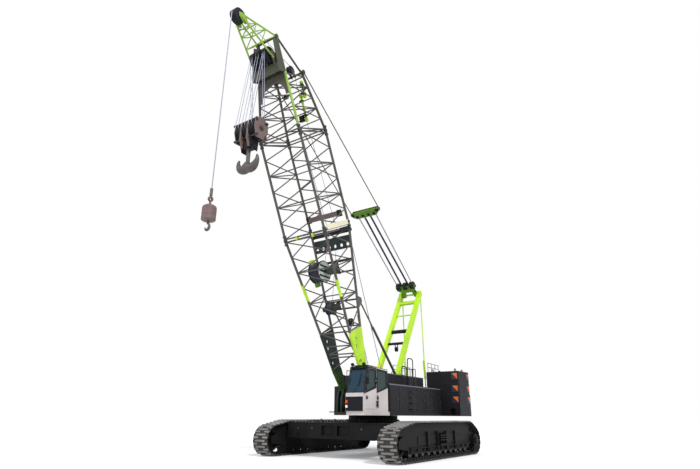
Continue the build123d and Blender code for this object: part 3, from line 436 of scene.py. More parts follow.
def steel_finish(name, colour, rough=0.45, metal=0.0, worn=(0.30, 0.29, 0.28), wear=0.5, reach=0.012,
                 dust=(0.33, 0.29, 0.23), dirt=0.35, fall=0.4, grain=60.0, bump=0.12, coat=0.0, shine=0.5):
    """Paint or bare metal with chips along its edges, dust and a fine grain."""
    tree, shader = new_look(name)
    edges = place_group(tree, EDGES, Reach=reach, Amount=wear)["Mask"]
    soil = place_group(tree, DIRT, Amount=dirt, Fall=fall)["Mask"]
    drift, height = grained(tree, colour, grain)
    chipped = blended(tree, edges, drift, rgba(worn))
    feed(tree, shader, {"Base Color": blended(tree, soil, chipped, rgba(dust)),
                        "Roughness": ramp(tree, soil, 0.0, 1.0, rough, min(1.0, rough + DULLED)),
                        "Metallic": metal, "Coat Weight": coat, "Specular IOR Level": shine,
                        "Normal": bumped(tree, height, bump, 0.004)})


# name: colour, roughness and what differs from plain paint
STEELS = {
    "lime_paint": dict(colour=(0.46, 0.74, 0.012), rough=0.40, coat=0.15, wear=0.2, dirt=0.07,
                       fall=0.2, shine=0.35),
    "lime_shaded": dict(colour=(0.24, 0.43, 0.022), rough=0.42, coat=0.2, wear=0.3, dirt=0.2,
                        dust=(0.16, 0.15, 0.08)),
    "olive_paint": dict(colour=(0.052, 0.056, 0.026), rough=0.5, worn=(0.20, 0.21, 0.16), dirt=0.18,
                        dust=(0.16, 0.13, 0.10)),
    "deep_green": dict(colour=(0.10, 0.23, 0.004), rough=0.42, wear=0.25, worn=(0.05, 0.07, 0.02), dirt=0.06),
    "lattice_paint": dict(colour=(0.088, 0.076, 0.066), rough=0.5, worn=(0.22, 0.20, 0.19), dirt=0.2,
                          dust=(0.17, 0.15, 0.13), shine=0.35),
    "winch_paint": dict(colour=(0.022, 0.030, 0.022), wear=0.4, worn=(0.10, 0.13, 0.05), dirt=0.10,
                        dust=(0.10, 0.10, 0.09), shine=0.3),
    "slate_paint": dict(colour=(0.020, 0.030, 0.030), rough=0.5, wear=0.4, worn=(0.08, 0.10, 0.08),
                        dirt=0.1, dust=(0.06, 0.06, 0.05), shine=0.25),
    "pale_paint": dict(colour=(0.50, 0.55, 0.49), rough=0.5, wear=0.4, worn=(0.16, 0.16, 0.15), dirt=0.2),
    "cream_paint": dict(colour=(0.78, 0.70, 0.50), wear=0.3, worn=(0.20, 0.18, 0.14), dirt=0.2,
                        dust=(0.30, 0.25, 0.18)),
    "charcoal_paint": dict(colour=(0.015, 0.014, 0.0155), rough=0.5, wear=0.4, worn=(0.08, 0.08, 0.085),
                           dirt=0.10, dust=(0.06, 0.055, 0.05), shine=0.18),
    "ballast_paint": dict(colour=(0.012, 0.0115, 0.014), rough=0.5, wear=0.3, worn=(0.07, 0.07, 0.075),
                          dirt=0.12, dust=(0.06, 0.055, 0.05), shine=0.18),
    "undercarriage_paint": dict(colour=(0.007, 0.0065, 0.0065), rough=0.5, wear=0.6,
                                worn=(0.07, 0.065, 0.06), dirt=0.2, dust=(0.05, 0.045, 0.04), shine=0.12),
    "roof_edge_paint": dict(colour=(0.12, 0.125, 0.17), rough=0.4, wear=0.3, dirt=0.15),
    "cab_paint": dict(colour=(0.56, 0.50, 0.485), rough=0.35, coat=0.3, wear=0.15, dirt=0.12, fall=0.3),
    "track_steel": dict(colour=(0.030, 0.026, 0.023), rough=0.6, metal=0.2, wear=0.7, reach=0.02,
                        worn=(0.30, 0.28, 0.26), dirt=0.4, dust=(0.085, 0.07, 0.06), bump=0.4,
                        grain=30.0, shine=0.3),
    "lug_steel": dict(colour=(0.25, 0.235, 0.22), rough=0.5, metal=0.4, wear=0.9, reach=0.03,
                      worn=(0.72, 0.70, 0.68), dirt=0.75, fall=0.1, dust=(0.045, 0.038, 0.032),
                      bump=0.5, grain=14.0),
    "bare_steel": dict(colour=(0.42, 0.41, 0.40), rough=0.35, metal=0.9, wear=0.2, dirt=0.25),
    "dark_steel": dict(colour=(0.05, 0.05, 0.052), rough=0.42, metal=0.6, wear=0.6,
                       worn=(0.35, 0.35, 0.35), dirt=0.2),
    "block_paint": dict(colour=(0.150, 0.092, 0.083), rough=0.55, wear=0.6, worn=(0.26, 0.22, 0.20),
                        dirt=0.25),
    "hook_forging": dict(colour=(0.10, 0.085, 0.080), rough=0.5, metal=0.3, wear=0.6,
                         worn=(0.4, 0.38, 0.36), dirt=0.2),
    "gloss_black": dict(colour=(0.006, 0.006, 0.008), rough=0.35, wear=0.15, worn=(0.06, 0.06, 0.06),
                        dirt=0.05, dust=(0.04, 0.04, 0.04), shine=0.2),
    "sheave_iron": dict(colour=(0.009, 0.009, 0.014), rough=0.5, worn=(0.12, 0.12, 0.14), dirt=0.08,
                        dust=(0.06, 0.06, 0.06), shine=0.25),
    "engine_iron": dict(colour=(0.05, 0.05, 0.05), rough=0.6, wear=0.4, dirt=0.4),
    "amber_paint": dict(colour=(0.90, 0.165, 0.006), rough=0.5, wear=0.0, dirt=0.05, shine=0.2),
    "navy_paint": dict(colour=(0.008, 0.022, 0.055), wear=0.0, dirt=0.08),
}
for finish_name, values in STEELS.items():
    steel_finish(finish_name, **values)
print(len(LOOKS), "metal finishes")

# %% [markdown]
# ## Glass, rubber, rope and lamps
# Cab glass is a thin tinted sheet: it lets the dark cab show and mirrors the sky, so a glass
# shader with a tint and little roughness is enough. Wire rope is drawn steel laid in strands,
# and from here a fine diagonal bump gives that lay.

# %% Make the other finishes
def glass_finish(name, tint, side_tint_and_shade):
    """Tinted glass with painted light: sideways panes darker and greener, the others bluer."""
    tree, shader = new_look(name)
    across = own(tree, "Normal", "X")
    sideways = ramp(tree, maths(tree, across, across), 0.5, 0.9)
    pane = blended(tree, sideways, rgba(tint), rgba(side_tint_and_shade))
    feed(tree, shader, {"Base Color": grained(tree, pane, 3.0)[0], "Roughness": 0.05,
                        "Transmission Weight": 0.55, "IOR": 1.45})


def plain_finish(name, colour, rough, metal=0.0, scale=25.0, bump=0.1):
    """Rubber, plastic or cloth: an even colour with its own grain."""
    tree, shader = new_look(name)
    shade, height = grained(tree, colour, scale)
    feed(tree, shader, {"Base Color": shade, "Roughness": rough, "Metallic": metal,
                        "Normal": bumped(tree, height, bump, 0.003)})


def rope_finish(name, colour):
    """Wire rope: strands laid aslant, with painted shade between them."""
    tree, shader = new_look(name)
    lay = node(tree, "TexWave", {"Vector": own(tree, "Object"), "Scale": 9.0, "Distortion": 0.6},
               bands_direction="DIAGONAL").outputs["Fac"]
    # the darker colour in the valleys between the strands is painted shade
    feed(tree, shader, {"Base Color": blended(tree, lay, rgba([c * 0.62 for c in colour]), rgba(colour)),
                        "Roughness": 0.38, "Metallic": 0.55, "Normal": bumped(tree, lay, 0.6, 0.006)})


def lamp_finish(name, colour, glow):
    """Lamp glass that glows a little in its own colour."""
    tree, shader = new_look(name)
    shade = grained(tree, colour, 8.0)[0]
    feed(tree, shader, {"Base Color": shade, "Roughness": 0.15,
                        "Emission Color": shade, "Emission Strength": glow})


# painted light over the glass tint: the windscreen is bluer as a painted sky reflection, the side panes
# darker and greener as painted shade
SIDE_TINT_AND_SHADE = (0.016, 0.060, 0.052)
glass_finish("screen_glass", (0.015, 0.066, 0.110), SIDE_TINT_AND_SHADE)
glass_finish("side_glass", SIDE_TINT_AND_SHADE, SIDE_TINT_AND_SHADE)
plain_finish("rubber", (0.02, 0.02, 0.02), 0.7)
plain_finish("seat_fabric", (0.03, 0.03, 0.035), 0.9, scale=300.0, bump=0.4)
plain_finish("grey_plastic", (0.10, 0.10, 0.11), 0.5)
plain_finish("mirror", (0.7, 0.72, 0.75), 0.05, metal=1.0, bump=0.0)
rope_finish("hoist_rope", (0.42, 0.43, 0.52))
rope_finish("dark_rope", (0.055, 0.055, 0.085))
lamp_finish("amber_lamp", (1.0, 0.32, 0.02), 0.3)
lamp_finish("red_lamp", (0.75, 0.07, 0.01), 0.1)
lamp_finish("white_lamp", (0.85, 0.86, 0.88), 0.25)
print(len(LOOKS), "finishes in all")

# %% Lay the floor
FLOOR_REACH, FLOOR_DROP = 150.0, 0.003
FLOOR_GREY, FLOOR_GLOW = (0.82, 0.82, 0.82), 0.22


def floor_finish(name):
    """Matt floor that is lifted towards white where the camera sees it."""
    tree, shader = new_look(name)
    tree.nodes.clear()
    matt = first(tree, "BsdfDiffuse", {"Color": rgba(FLOOR_GREY)})
    lift = first(tree, "Emission", {"Color": rgba(WHITE), "Strength": FLOOR_GLOW})
    seen = first(tree, "AddShader", {0: matt, 1: lift})
    camera_ray = node(tree, "LightPath").outputs["Is Camera Ray"]
    both = first(tree, "MixShader", {0: camera_ray, 1: matt, 2: seen})
    node(tree, "OutputMaterial", {"Surface": both})


floor_finish("pale_floor")
floor_mesh = bmesh.new()
bmesh.ops.create_circle(floor_mesh, cap_ends=True, radius=FLOOR_REACH, segments=96)
floor = piece("floor", floor_mesh, "pale_floor", None)
floor.location.z = CAD_LOW.z - FLOOR_DROP
floor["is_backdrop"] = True
print("floor at", round(floor.location.z, 3))

# %% [markdown]
# ## Finishes on the frame
# Each node of the frame keeps its shape and takes one of the finishes. The list reads from the
# ground up, so a new piece is easy to place.

# %% Paint the nodes of the frame
FINISH_OF = {
    "undercarriage_paint": "carbody slewing_ring track_frame_left track_frame_right idlers final_drives",
    "dark_steel": "rollers_left rollers_right boom_hoist_drum exhaust handrails",
    "winch_paint": "main_drum aux_drum winch_frames revolving_frame",
    "track_steel": "track_left track_right",
    "charcoal_paint": "house_left house_right",
    "engine_iron": "engine",
    "cab_paint": "cab_shell cab_door",
    "screen_glass": "cab_glass",
    "side_glass": "door_glass",
    "seat_fabric": "cab_seat",
    "ballast_paint": "counterweight_lower counterweight_middle counterweight_upper",
    "lime_paint": "gantry_legs gantry_backstays boom_foot_plates",
    "lime_shaded": "tip_extension",
    "olive_paint": "boom_head pendants backstop_tubes backstop_rods",
    "lattice_paint": "boom_bottom boom_insert boom_top",
    "deep_green": "gantry_sheaves luffing_bridle",
    "sheave_iron": "head_sheaves tip_sheave rope_guides",
    "dark_rope": "gantry_ropes bridle_ropes",
    "block_paint": "hook_block aux_weight",
    "hook_forging": "ramshorn_hook aux_hook",
}
for finish_name, names in FINISH_OF.items():
    for name in names.split():
        obj = NODES[name]
        obj.data.materials.clear()
        obj.data.materials.append(LOOKS[finish_name])


# the dark slate on the inward faces of the foot plates is painted shade; near the pins it turns green
PIN_GREEN, FOOT_PLATE_SHADE = (0.035, 0.095, 0.006), (0.018, 0.028, 0.028)


def shade_inner_faces(node_name, outer, inner):
    """Painted shade: the faces that look towards the middle of the machine take a darker second finish."""
    look = LOOKS[outer].copy()
    look.name = f"{outer}_{node_name}"
    tree = look.node_tree
    end = next(n for n in tree.nodes if n.type == "OUTPUT_MATERIAL")
    outside = end.inputs["Surface"].links[0].from_socket
    near_pin = ramp(tree, own(tree, "Object", "Z"), 4.15, 3.75)
    greener = Vector(PIN_GREEN) - Vector(inner)
    tint = first(tree, "VectorMath", {0: near_pin, 1: greener, 2: inner}, operation="MULTIPLY_ADD")
    inside = first(tree, "BsdfPrincipled", {"Base Color": grained(tree, tint, 30.0)[0], "Roughness": 0.5,
                                            "Specular IOR Level": 0.25})
    facing, place = own(tree, "Normal", "X"), own(tree, "Object", "X")
    shade_mask = ramp(tree, maths(tree, facing, place), -0.15, -0.30)
    # on the right plate the edges are shaded too
    right_edge = maths(tree, ramp(tree, place, -0.10, -0.20), ramp(tree, facing, -0.7, -0.5))
    shade_mask = maths(tree, shade_mask, right_edge, "MAXIMUM")
    feed(tree, end, {"Surface": first(tree, "MixShader", {0: shade_mask, 1: outside, 2: inside})})
    NODES[node_name].data.materials[0] = look


shade_inner_faces("boom_foot_plates", "lime_paint", FOOT_PLATE_SHADE)
print("painted", sum(len(n.split()) for n in FINISH_OF.values()), "nodes")

# %% [markdown]
# ## Where things are on the boom
# The boom leans back from its foot pins. It is easiest to think along it: u runs up the boom
# from the foot pins, n is square to it towards the load, and x is across. One function turns
# these into places in space. The rope line from gantry to bridle gets the same treatment.

# %% Boom and rope directions
FOOT_Y, FOOT_Z, LEAN = -1.503, 3.033, math.radians(63.9)
KINK, INSERT_END, TOP_END = 8.06, 12.90, 15.80
BOOM_HALF_WIDTH, BOOM_HALF_DEPTH = 1.20, 1.09
HEAD_U, HEAD_N, TIP_U, TIP_N, SHEAVE_R = 16.70, 0.866, 18.49, 1.92, 0.40
GANTRY_FOOT, GANTRY_TOP = Vector((0, 0.955, 3.005)), Vector((0, 4.62, 9.06))
BRIDLE = Vector((0, -0.64, 12.90))
ALONG_BOOM = Vector((0, -math.cos(LEAN), math.sin(LEAN)))
TO_LOAD = Vector((0, -math.sin(LEAN), -math.cos(LEAN)))
ROPE_RUN = (BRIDLE - GANTRY_TOP).normalized()
ROPE_LENGTH = (BRIDLE - GANTRY_TOP).length
ROPE_TOP = Vector((0, ROPE_RUN.z, -ROPE_RUN.y))


def on_boom(u, n, x=0.0):
    return Vector((x, FOOT_Y, FOOT_Z)) + ALONG_BOOM * u + TO_LOAD * n


def on_rope(s, t=0.0, x=0.0):
    """Place s along the line from gantry to bridle, t above it and x across."""
    return GANTRY_TOP + Vector((x, 0, 0)) + ROPE_RUN * s + ROPE_TOP * t


HEAD_AXLE, TIP_AXLE = on_boom(HEAD_U, HEAD_N), on_boom(TIP_U, TIP_N)
print("boom head at", [round(v, 2) for v in HEAD_AXLE], "luffing ropes", round(ROPE_LENGTH, 2), "m long")

# %% [markdown]
# ## Lattice boom
# A boom section is four thick chords laced with thin tubes: battens square to the chords and
# diagonals between them. Real tubes are round, with a weld bead where they meet a chord and a
# forked lug at each end of a chord, where a pin joins the next section. Tubes are swept here one
# by one from the same stations as the frame; on the insert and the top section they stand in for its plain
# bars.

# %% Chords, lacings and pin joints
CHORD_R, LACE_R, JOINT_BACK = 0.062, 0.030, 0.070
GUSSET, ARCH_R = 1.05, 0.735     # height of the arched plate under the head, radius of its arch
# stations of a section: u, half width, front chords, rear chords
MIDDLE = (BOOM_HALF_WIDTH, BOOM_HALF_DEPTH, -BOOM_HALF_DEPTH)
FOOT_STATION, TOP_STATION = (0.90, 0.71, 0.42, -0.05), (TOP_END, 0.834, 0.559, -0.86)
# section: node, low and high station, bays, share where it starts, chord finishes by corner
PLAIN = ("lattice_paint",) * 4
SECTIONS = (
    ("boom_bottom", FOOT_STATION, (KINK, *MIDDLE), 6, 0.3073, PLAIN),
    ("boom_insert", (KINK, *MIDDLE), (INSERT_END, *MIDDLE), 6, 0.0, PLAIN),
    # painted light: on the top section the two left chords, on the near side, take the lime and olive
    # finishes as lit chords, and the two right ones the plain lattice finish as chords in shade
    ("boom_top", (INSERT_END, *MIDDLE), TOP_STATION, 5, 0.0,
     ("lime_shaded", "lattice_paint", "lattice_paint", "olive_paint")),
)


def corner(low, high, share, which):
    """Centre of a chord at a share of the section: front left, front right, rear right or rear left."""
    u, half, front, rear = (a + share * (b - a) for a, b in zip(low, high))
    return on_boom(u, front if which < 2 else rear, half if which in (0, 3) else -half)


def pin_joint(bm, at):
    """Fork, tongue and pin between two chords."""
    for x in (-0.034, 0.0, 0.034):
        disc(bm, at + Vector((x, 0, 0)), ACROSS, 0.011, 0.10, 20)
    barrel(bm, at, ACROSS, (0.075, 0.034), (0.062, 0.040), 14)
    for way in (-1, 1):
        tube(bm, at + ALONG_BOOM * way * 0.15, at + ALONG_BOOM * way * 0.02, CHORD_R + 0.008, 14)
        barrel(bm, at + ALONG_BOOM * way * 0.20, ALONG_BOOM, (0.05, 0.064), (0.04, 0.095), 18)


for name, low, high, bays, begin, looks in SECTIONS:
    back = JOINT_BACK / (high[0] - low[0])
    step = (1 - begin - 2 * back) / bays
    chords = {look: bmesh.new() for look in looks}
    laces = bmesh.new()
    for c in range(4):
        follow = (c + 1) % 4
        tube(chords[looks[c]], corner(low, high, begin, c), corner(low, high, 1, c), CHORD_R, 16)
        for share in (begin + back, 1 - back):
            tube(laces, corner(low, high, share, c), corner(low, high, share, follow), LACE_R + 0.006, 10)
        for k in range(bays):
            near, far = begin + back + step * k, begin + back + step * (k + 1)
            a, b = (c, follow) if k % 2 else (follow, c)
            start, end = corner(low, high, near, a), corner(low, high, far, b)
            tube(laces, start, end, LACE_R, 10)
            reach = (end - start).normalized()
            for at, way in ((start, reach), (end, -reach)):
                bead = at + way * (CHORD_R - 0.01)
                tube(laces, bead, bead + way * 0.04, LACE_R + 0.010, 10, LACE_R)
            if k % 2 and k < bays - 1:
                tube(laces, corner(low, high, far, a), end, LACE_R, 10)
    if name == "boom_top":
        share = 1 - GUSSET / (high[0] - low[0])
        down, up = ([corner(low, high, at, c) for c in (0, 1)] for at in (share, 1))
        foot, lift = (down[0] + down[1]) / 2, (up[0] - down[0] + up[1] - down[1]).normalized()
        arch = [foot + Vector((x, 0, 0)) + lift * rise for x, rise in circle(ARCH_R, 40)[:21]]
        plate(laces, [down[0], *arch, down[1], up[1], up[0]], TO_LOAD * 0.024)
    for look, bm in chords.items():
        piece(f"{name}_chords_{look}", bm, look, "boom")
    laced = piece(f"{name}_lacings", laces, "lattice_paint", "boom")
    if name != "boom_bottom":
        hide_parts(name)

joints = bmesh.new()
for u in (KINK, INSERT_END):
    for n in (BOOM_HALF_DEPTH, -BOOM_HALF_DEPTH):
        for x in (-BOOM_HALF_WIDTH, BOOM_HALF_WIDTH):
            pin_joint(joints, on_boom(u, n, x))
piece("boom_section_pins", joints, "dark_steel", "boom")
print("lattice sections:", [s[0] for s in SECTIONS])

# %% [markdown]
# ## Ropes
# Wire ropes carry everything: falls in bundles pull the bridle from the gantry, more falls run
# between the boom head and the hook block, and a single line holds the small weight. Under load
# they are straight, so each is a thin round bar.

# %% Luffing ropes
GANTRY_SHEAVE_S = 0.76      # place of the gantry sheaves along the rope line
# falls: place across the gantry sheaves, place across the bridle
OUTER_FALLS = ((-0.54, -0.60), (-0.51, -0.55), (0.51, 0.55), (0.54, 0.60))
INNER_FALLS = ((-0.26, -0.22), (-0.20, -0.16), (0.20, 0.16), (0.26, 0.22))


def rope_bundle(name, ends, look, radius):
    """Straight ropes between pairs of ends, as one piece that has no body yet."""
    bm = bmesh.new()
    for p, q in ends:
        tube(bm, p, q, radius, 8)
    return piece(name, bm, look, None)


def luffing_lines(falls):
    return [(on_rope(GANTRY_SHEAVE_S, 0, x0), on_rope(ROPE_LENGTH + 0.07, 0, x1)) for x0, x1 in falls]


luffing_ropes = rope_bundle("luffing_ropes", luffing_lines(INNER_FALLS), "dark_rope", 0.031)
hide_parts("gantry_ropes", "bridle_ropes")
outer_ropes = rope_bundle("luffing_ropes_outer", luffing_lines(OUTER_FALLS), "hoist_rope", 0.017)
for ropes in (luffing_ropes, outer_ropes):
    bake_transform(ropes)
print(len(OUTER_FALLS) + len(INNER_FALLS), "luffing ropes")

# %% Falls of the main block and the auxiliary line
BLOCK_AXLE = Vector((0, HEAD_AXLE.y - SHEAVE_R + 0.02, 13.45))
BLOCK_ROPE_R = 0.45
AUX_Y, AUX_LOW = TIP_AXLE.y - SHEAVE_R + 0.04, 9.95
# falls of one side: x at the head, x at the block, front (-1) or rear (1) of the block's sheaves
FALLS = ((0.445, 0.49, -1), (0.445, 0.40, 1), (0.325, 0.31, -1), (0.325, 0.31, 1), (0.08, 0.09, -1))
falls = []
for side in (-1, 1):
    for x_head, x_block, tangent in FALLS:
        top = Vector((side * x_head, HEAD_AXLE.y - SHEAVE_R + 0.035, HEAD_AXLE.z - 0.05))
        foot = BLOCK_AXLE + Vector((side * x_block, tangent * BLOCK_ROPE_R, 0.1))
        falls.append((top, foot))
main_falls = rope_bundle("main_falls", falls, "hoist_rope", 0.014)
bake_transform(main_falls)
aux_line = rope_bundle("aux_line", [((0, AUX_Y, TIP_AXLE.z), (0, AUX_Y, AUX_LOW))], "hoist_rope", 0.022)
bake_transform(aux_line)
print(len(falls), "falls and the auxiliary line")

# %% [markdown]
# ## Crawler tracks
# A track is a chain of cast shoes drawn tight round its end wheels. Each shoe is a flat pad
# with three lugs, set like bricks, and two link plates and a pin under it. The line
# round the wheels is the outline that a tight belt takes: the convex hull of the wheels. Lugs are
# polished by the ground, so they are a piece of their own in brighter steel.

# %% Line of the chain
TRACK_X, SHOE_W, SHOES = 3.45, 0.93, 72
# end wheels, then the two that carry the top run: y, z and radius of the chain's outer line
WHEELS = ((-3.90, 0.720, 0.675), (3.95, 0.680, 0.635), (-2.85, 1.289, 0.300), (3.45, 1.289, 0.300))


def belt(inset, count):
    """Tight line round the wheels, drawn in by inset; count is the number of points on each wheel."""
    around = [Vector((y + a, z + b)) for y, z, r in WHEELS for a, b in circle(r - inset, count)]
    return [around[i] for i in geometry.convex_hull_2d(around)]


def chain_stations(count):
    """Evenly spaced points (y, z) along the belt, and their pitch."""
    line = belt(0, 60)
    legs = list(zip(line, line[1:] + line[:1]))
    pitch = sum((b - a).length for a, b in legs) / count
    stations, done = [], 0.0
    for a, b in legs:
        length = (b - a).length
        while len(stations) < count and len(stations) * pitch <= done + length:
            stations.append(a.lerp(b, (len(stations) * pitch - done) / length))
        done += length
    return stations, pitch


shoe_points, shoe_pitch = chain_stations(SHOES)
print(len(shoe_points), "shoes, pitch", round(shoe_pitch, 3), "m")

# %% Shoes, links and pins
PAD_T, LUG_H, LUG_DEPTH, LINK_W = 0.036, 0.045, 0.18, 0.045
HALF_SHOE, NOSE = SHOE_W / 2, shoe_pitch * 0.475
# pad from above: place across, and along as a share of its nose
PAD = ((-HALF_SHOE, -0.6), (0.03 - HALF_SHOE, -1), (HALF_SHOE - 0.03, -1), (HALF_SHOE, -0.6),
       (HALF_SHOE, 0.6), (HALF_SHOE - 0.03, 1), (0.03 - HALF_SHOE, 1), (-HALF_SHOE, 0.6))
# link from the side: place along as a share of the nose, and height
LINK = ((-0.62, -0.06), (-0.5, -0.145), (0.5, -0.145), (0.62, -0.06), (0.45, -PAD_T), (-0.45, -PAD_T))
# lug: x range and place along the shoe, as a share of its pitch
LUGS = ((-0.44, -0.15, 0.23), (0.15, 0.44, 0.23), (-0.30, 0.30, -0.23))

middle = sum(shoe_points, Vector((0, 0))) / len(shoe_points)
for side, name in ((1, "track_left"), (-1, "track_right")):
    pads, lugs = bmesh.new(), bmesh.new()
    for a, b in zip(shoe_points, shoe_points[1:] + shoe_points[:1]):
        along, centre = (b - a).normalized(), (a + b) / 2
        out = Vector((along.y, -along.x))
        if out.dot(centre - middle) < 0:
            out = -out

        def on_shoe(x, s, h):
            """Place x across the shoe, s along it and h out of its face."""
            p = centre + along * s + out * h
            return Vector((side * TRACK_X + x, p.x, p.y))

        def lug_ring(x0, x1, s, reach, h):
            return [on_shoe(x, s + d * reach, h) for x, d in ((x0, -1), (x1, -1), (x1, 1), (x0, 1))]

        block(pads, *([on_shoe(x, s * NOSE, h) for x, s in PAD] for h in (-PAD_T, 0)))
        for x0, x1, share in LUGS:
            s, reach = share * shoe_pitch, LUG_DEPTH * shoe_pitch
            block(lugs, lug_ring(x0, x1, s, reach, -0.004),
                  lug_ring(x0 + 0.02, x1 - 0.02, s, reach * 0.6, LUG_H))
        for x in (-0.115, 0.07):
            block(pads, *([on_shoe(face, s * NOSE, h) for s, h in LINK] for face in (x, x + LINK_W)))
        tube(pads, on_shoe(-0.14, NOSE, -0.095), on_shoe(0.14, NOSE, -0.095), 0.030, 10)
    shoes = piece(f"{name}_shoes", pads, "track_steel", "undercarriage", 0.006)
    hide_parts(name)
    piece(f"{name}_lugs", lugs, "lug_steel", "undercarriage", 0.007)
print("shoes laid on both tracks")

# %% [markdown]
# ## Track frames and carbody
# The long frame between the wheels is a welded box: caps over the roller pins, bolted covers and
# a guard rail along its side, steps for the driver amidships, hoses to the travel motor and a
# bolted cover on the final drive. The carbody has edge plates, ribs, plugs and hose joints.

# %% Fittings of the track frames
FRAME_SIDE = TRACK_X + 0.26
ROLLER_Z, ROLLER_PITCH, FIRST_ROLLER, ROLLERS = 0.455, 0.6, -3.0, 11
DRIVE_Y, DRIVE_Z = WHEELS[1][:2]
# bolted covers over the tension cylinder and the hose run: y and z ranges
COVERS = (((-2.35, -1.65), (0.66, 1.02)), ((-1.35, -0.62), (0.70, 1.05)),
          ((0.62, 1.38), (0.70, 1.05)), ((1.65, 2.75), (0.72, 1.0)))
# guards that close the frame up to the top run
GUARD_LOW, GUARD_FRONT, GUARD_REAR, GUARD_INSET = 1.05, -4.05, 3.52, 0.062

bolts, caps, plates, hoses, guards = (bmesh.new() for _ in range(5))
top_line = sorted((p for p in belt(GUARD_INSET, 48) if p.y > GUARD_LOW and GUARD_FRONT < p.x < GUARD_REAR),
                  key=lambda p: p.x)
guard = [(GUARD_FRONT, GUARD_LOW), *((p.x, p.y) for p in top_line), (GUARD_REAR, GUARD_LOW)]
for side in (1, -1):
    face, outwards = side * FRAME_SIDE, (side, 0, 0)
    for k in range(ROLLERS):
        y = FIRST_ROLLER + ROLLER_PITCH * k
        turned(caps, [(0, 0.085), (0.02, 0.085), (0.03, 0.06), (0.05, 0.06), (0.055, 0.03)],
               (face, y, ROLLER_Z), outwards, 16)
        for dy, dz in circle(0.068, 4, math.pi / 4):
            bolt(bolts, (face + side * 0.012, y + dy, ROLLER_Z + dz), outwards, 0.012, 0.014)
    for (y0, y1), (z0, z1) in COVERS:
        brick(plates, (face, face + side * 0.022), (y0, y1), (z0, z1))
        for y in (y0 + 0.04, (y0 + y1) / 2, y1 - 0.04):
            for z in (z0 + 0.04, z1 - 0.04):
                bolt(bolts, (face + side * 0.022, y, z), outwards, 0.014, 0.018)
    # step loops and their side plates
    for z in (0.62, 0.82, 1.02):
        staple(plates, (face, -0.42, z), (face, 0.42, z), (side * 0.17, 0, 0), 0.02, 0.018)
    for y in (-0.42, 0.42, -0.14, 0.14):
        brick(plates, (face, face + side * 0.10), (y - 0.012, y + 0.012), (0.52, 1.12))
    # hoses from the carbody to the travel motor
    inner = side * (TRACK_X - 0.30)
    for lift in (0.0, 0.05, 0.10):
        run = ((inner, 3.0, 1.10), (inner, 3.25, 1.05), (inner - side * 0.05, 3.6, 0.9),
               (inner - side * 0.05, 3.85, 0.78))
        sweep(hoses, [(side * 2.7, 2.9, 1.12 + lift * 0.5), *((x, y, z + lift) for x, y, z in run)], 0.018, 8)
    # cover of the final drive and its ring of bolts
    for dy, dz in circle(0.255, 16):
        bolt(bolts, (side * (TRACK_X + 0.435), DRIVE_Y + dy, DRIVE_Z + dz), outwards, 0.018, 0.022)
    turned(caps, [(0, 0.20), (0.015, 0.20), (0.03, 0.16), (0.045, 0.16), (0.05, 0.05)],
           (side * (TRACK_X + 0.483), DRIVE_Y, DRIVE_Z), outwards, 32)
    # guards, plates inside the row of rollers, webs of the end wheels and the guard rail
    for x in (0.235, -0.255):
        plate(guards, [(side * TRACK_X + x, y, z) for y, z in guard], (0.02, 0, 0))
    for k in range(-1, ROLLERS):
        y = FIRST_ROLLER + ROLLER_PITCH * k
        brick(guards, (side * (TRACK_X - 0.22), side * (TRACK_X - 0.20)), (y + 0.05, y + 0.55), (0.10, 0.40))
    for y, z, r in WHEELS[:2]:
        barrel(guards, (side * TRACK_X, y, z), ACROSS, (0.02, 0.08), (0.02, r - 0.10), 48)
    brick(guards, (face, face + side * 0.10), (-3.15, 3.15), (0.552, 0.575))
piece("track_frame_bolts", bolts, "dark_steel", "undercarriage")
piece("track_frame_covers", plates, "undercarriage_paint", "undercarriage", 0.005)
piece("track_guards", guards, "undercarriage_paint", "undercarriage")
piece("roller_end_caps", caps, "undercarriage_paint", "undercarriage", 0.004)
piece("travel_hoses", hoses, "rubber", "undercarriage")

# %% Fittings of the carbody
BEAM_FACE, BEAM_TOP, RING_BOLTS_R = 3.17, 1.527, 1.305
# line of a clamp: x from its foot, y and z
CLAMP = ((0, -2.9, 1.53), (0.02, -2.88, 1.62), (0.22, -2.8, 1.62), (0.24, -2.78, 1.53))
fittings, small = bmesh.new(), bmesh.new()
for way in (-1, 1):
    face = way * BEAM_FACE
    for x in (-2.3, -1.45, 1.35, 2.35):
        turned(small, [(0, 0.045), (0.012, 0.045), (0.014, 0.025)], (x, face, 1.26), (0, way, 0), 18)
    brick(fittings, (-2.9, 2.9), (face, face + way * 0.018), (1.49, 1.525))
    brick(fittings, (-2.9, 2.9), (face, face + way * 0.014), (0.825, 0.865))
    for x in (-0.9, -0.2, 0.7):
        brick(fittings, (x - 0.015, x + 0.015), (face - way * 0.11, face), (0.97, 1.38))
# hose joints and clamps on top of the front beam
for x in (-1.15, -0.35, 0.35):
    turned(small, [(0, 0.07), (0.10, 0.07), (0.12, 0.045), (0.16, 0.045)], (x, -2.85, BEAM_TOP), UP, 16)
for x in (-1.6, -1.2, -0.8):
    sweep(small, [(x + dx, y, z) for dx, y, z in CLAMP], 0.02, 8)
for x, y in circle(RING_BOLTS_R, 40):
    bolt(small, (x, y, 1.637), UP, 0.022, 0.03)
piece("carbody_edge_plates", fittings, "undercarriage_paint", "undercarriage", 0.004)
piece("carbody_small_fittings", small, "dark_steel", "undercarriage")
print("undercarriage dressed")

# %% [markdown]
# ## Counterweight
# Stacked castings meet in plain joints. Lifting lugs stand on top, and rows of plugs fill the
# cast pockets of the lowest slab. The outer corners carry an orange wedge on a dark blue field,
# on the front and on the side of every slab; the fields are left blank.

# %% Slabs, wedges and lugs
CW_HALF, CW_IN, CW_FRONT, CW_REAR = 3.04, 1.05, 4.216, 5.788
CW_LEVELS = (1.855, 2.99, 3.58, 4.257)
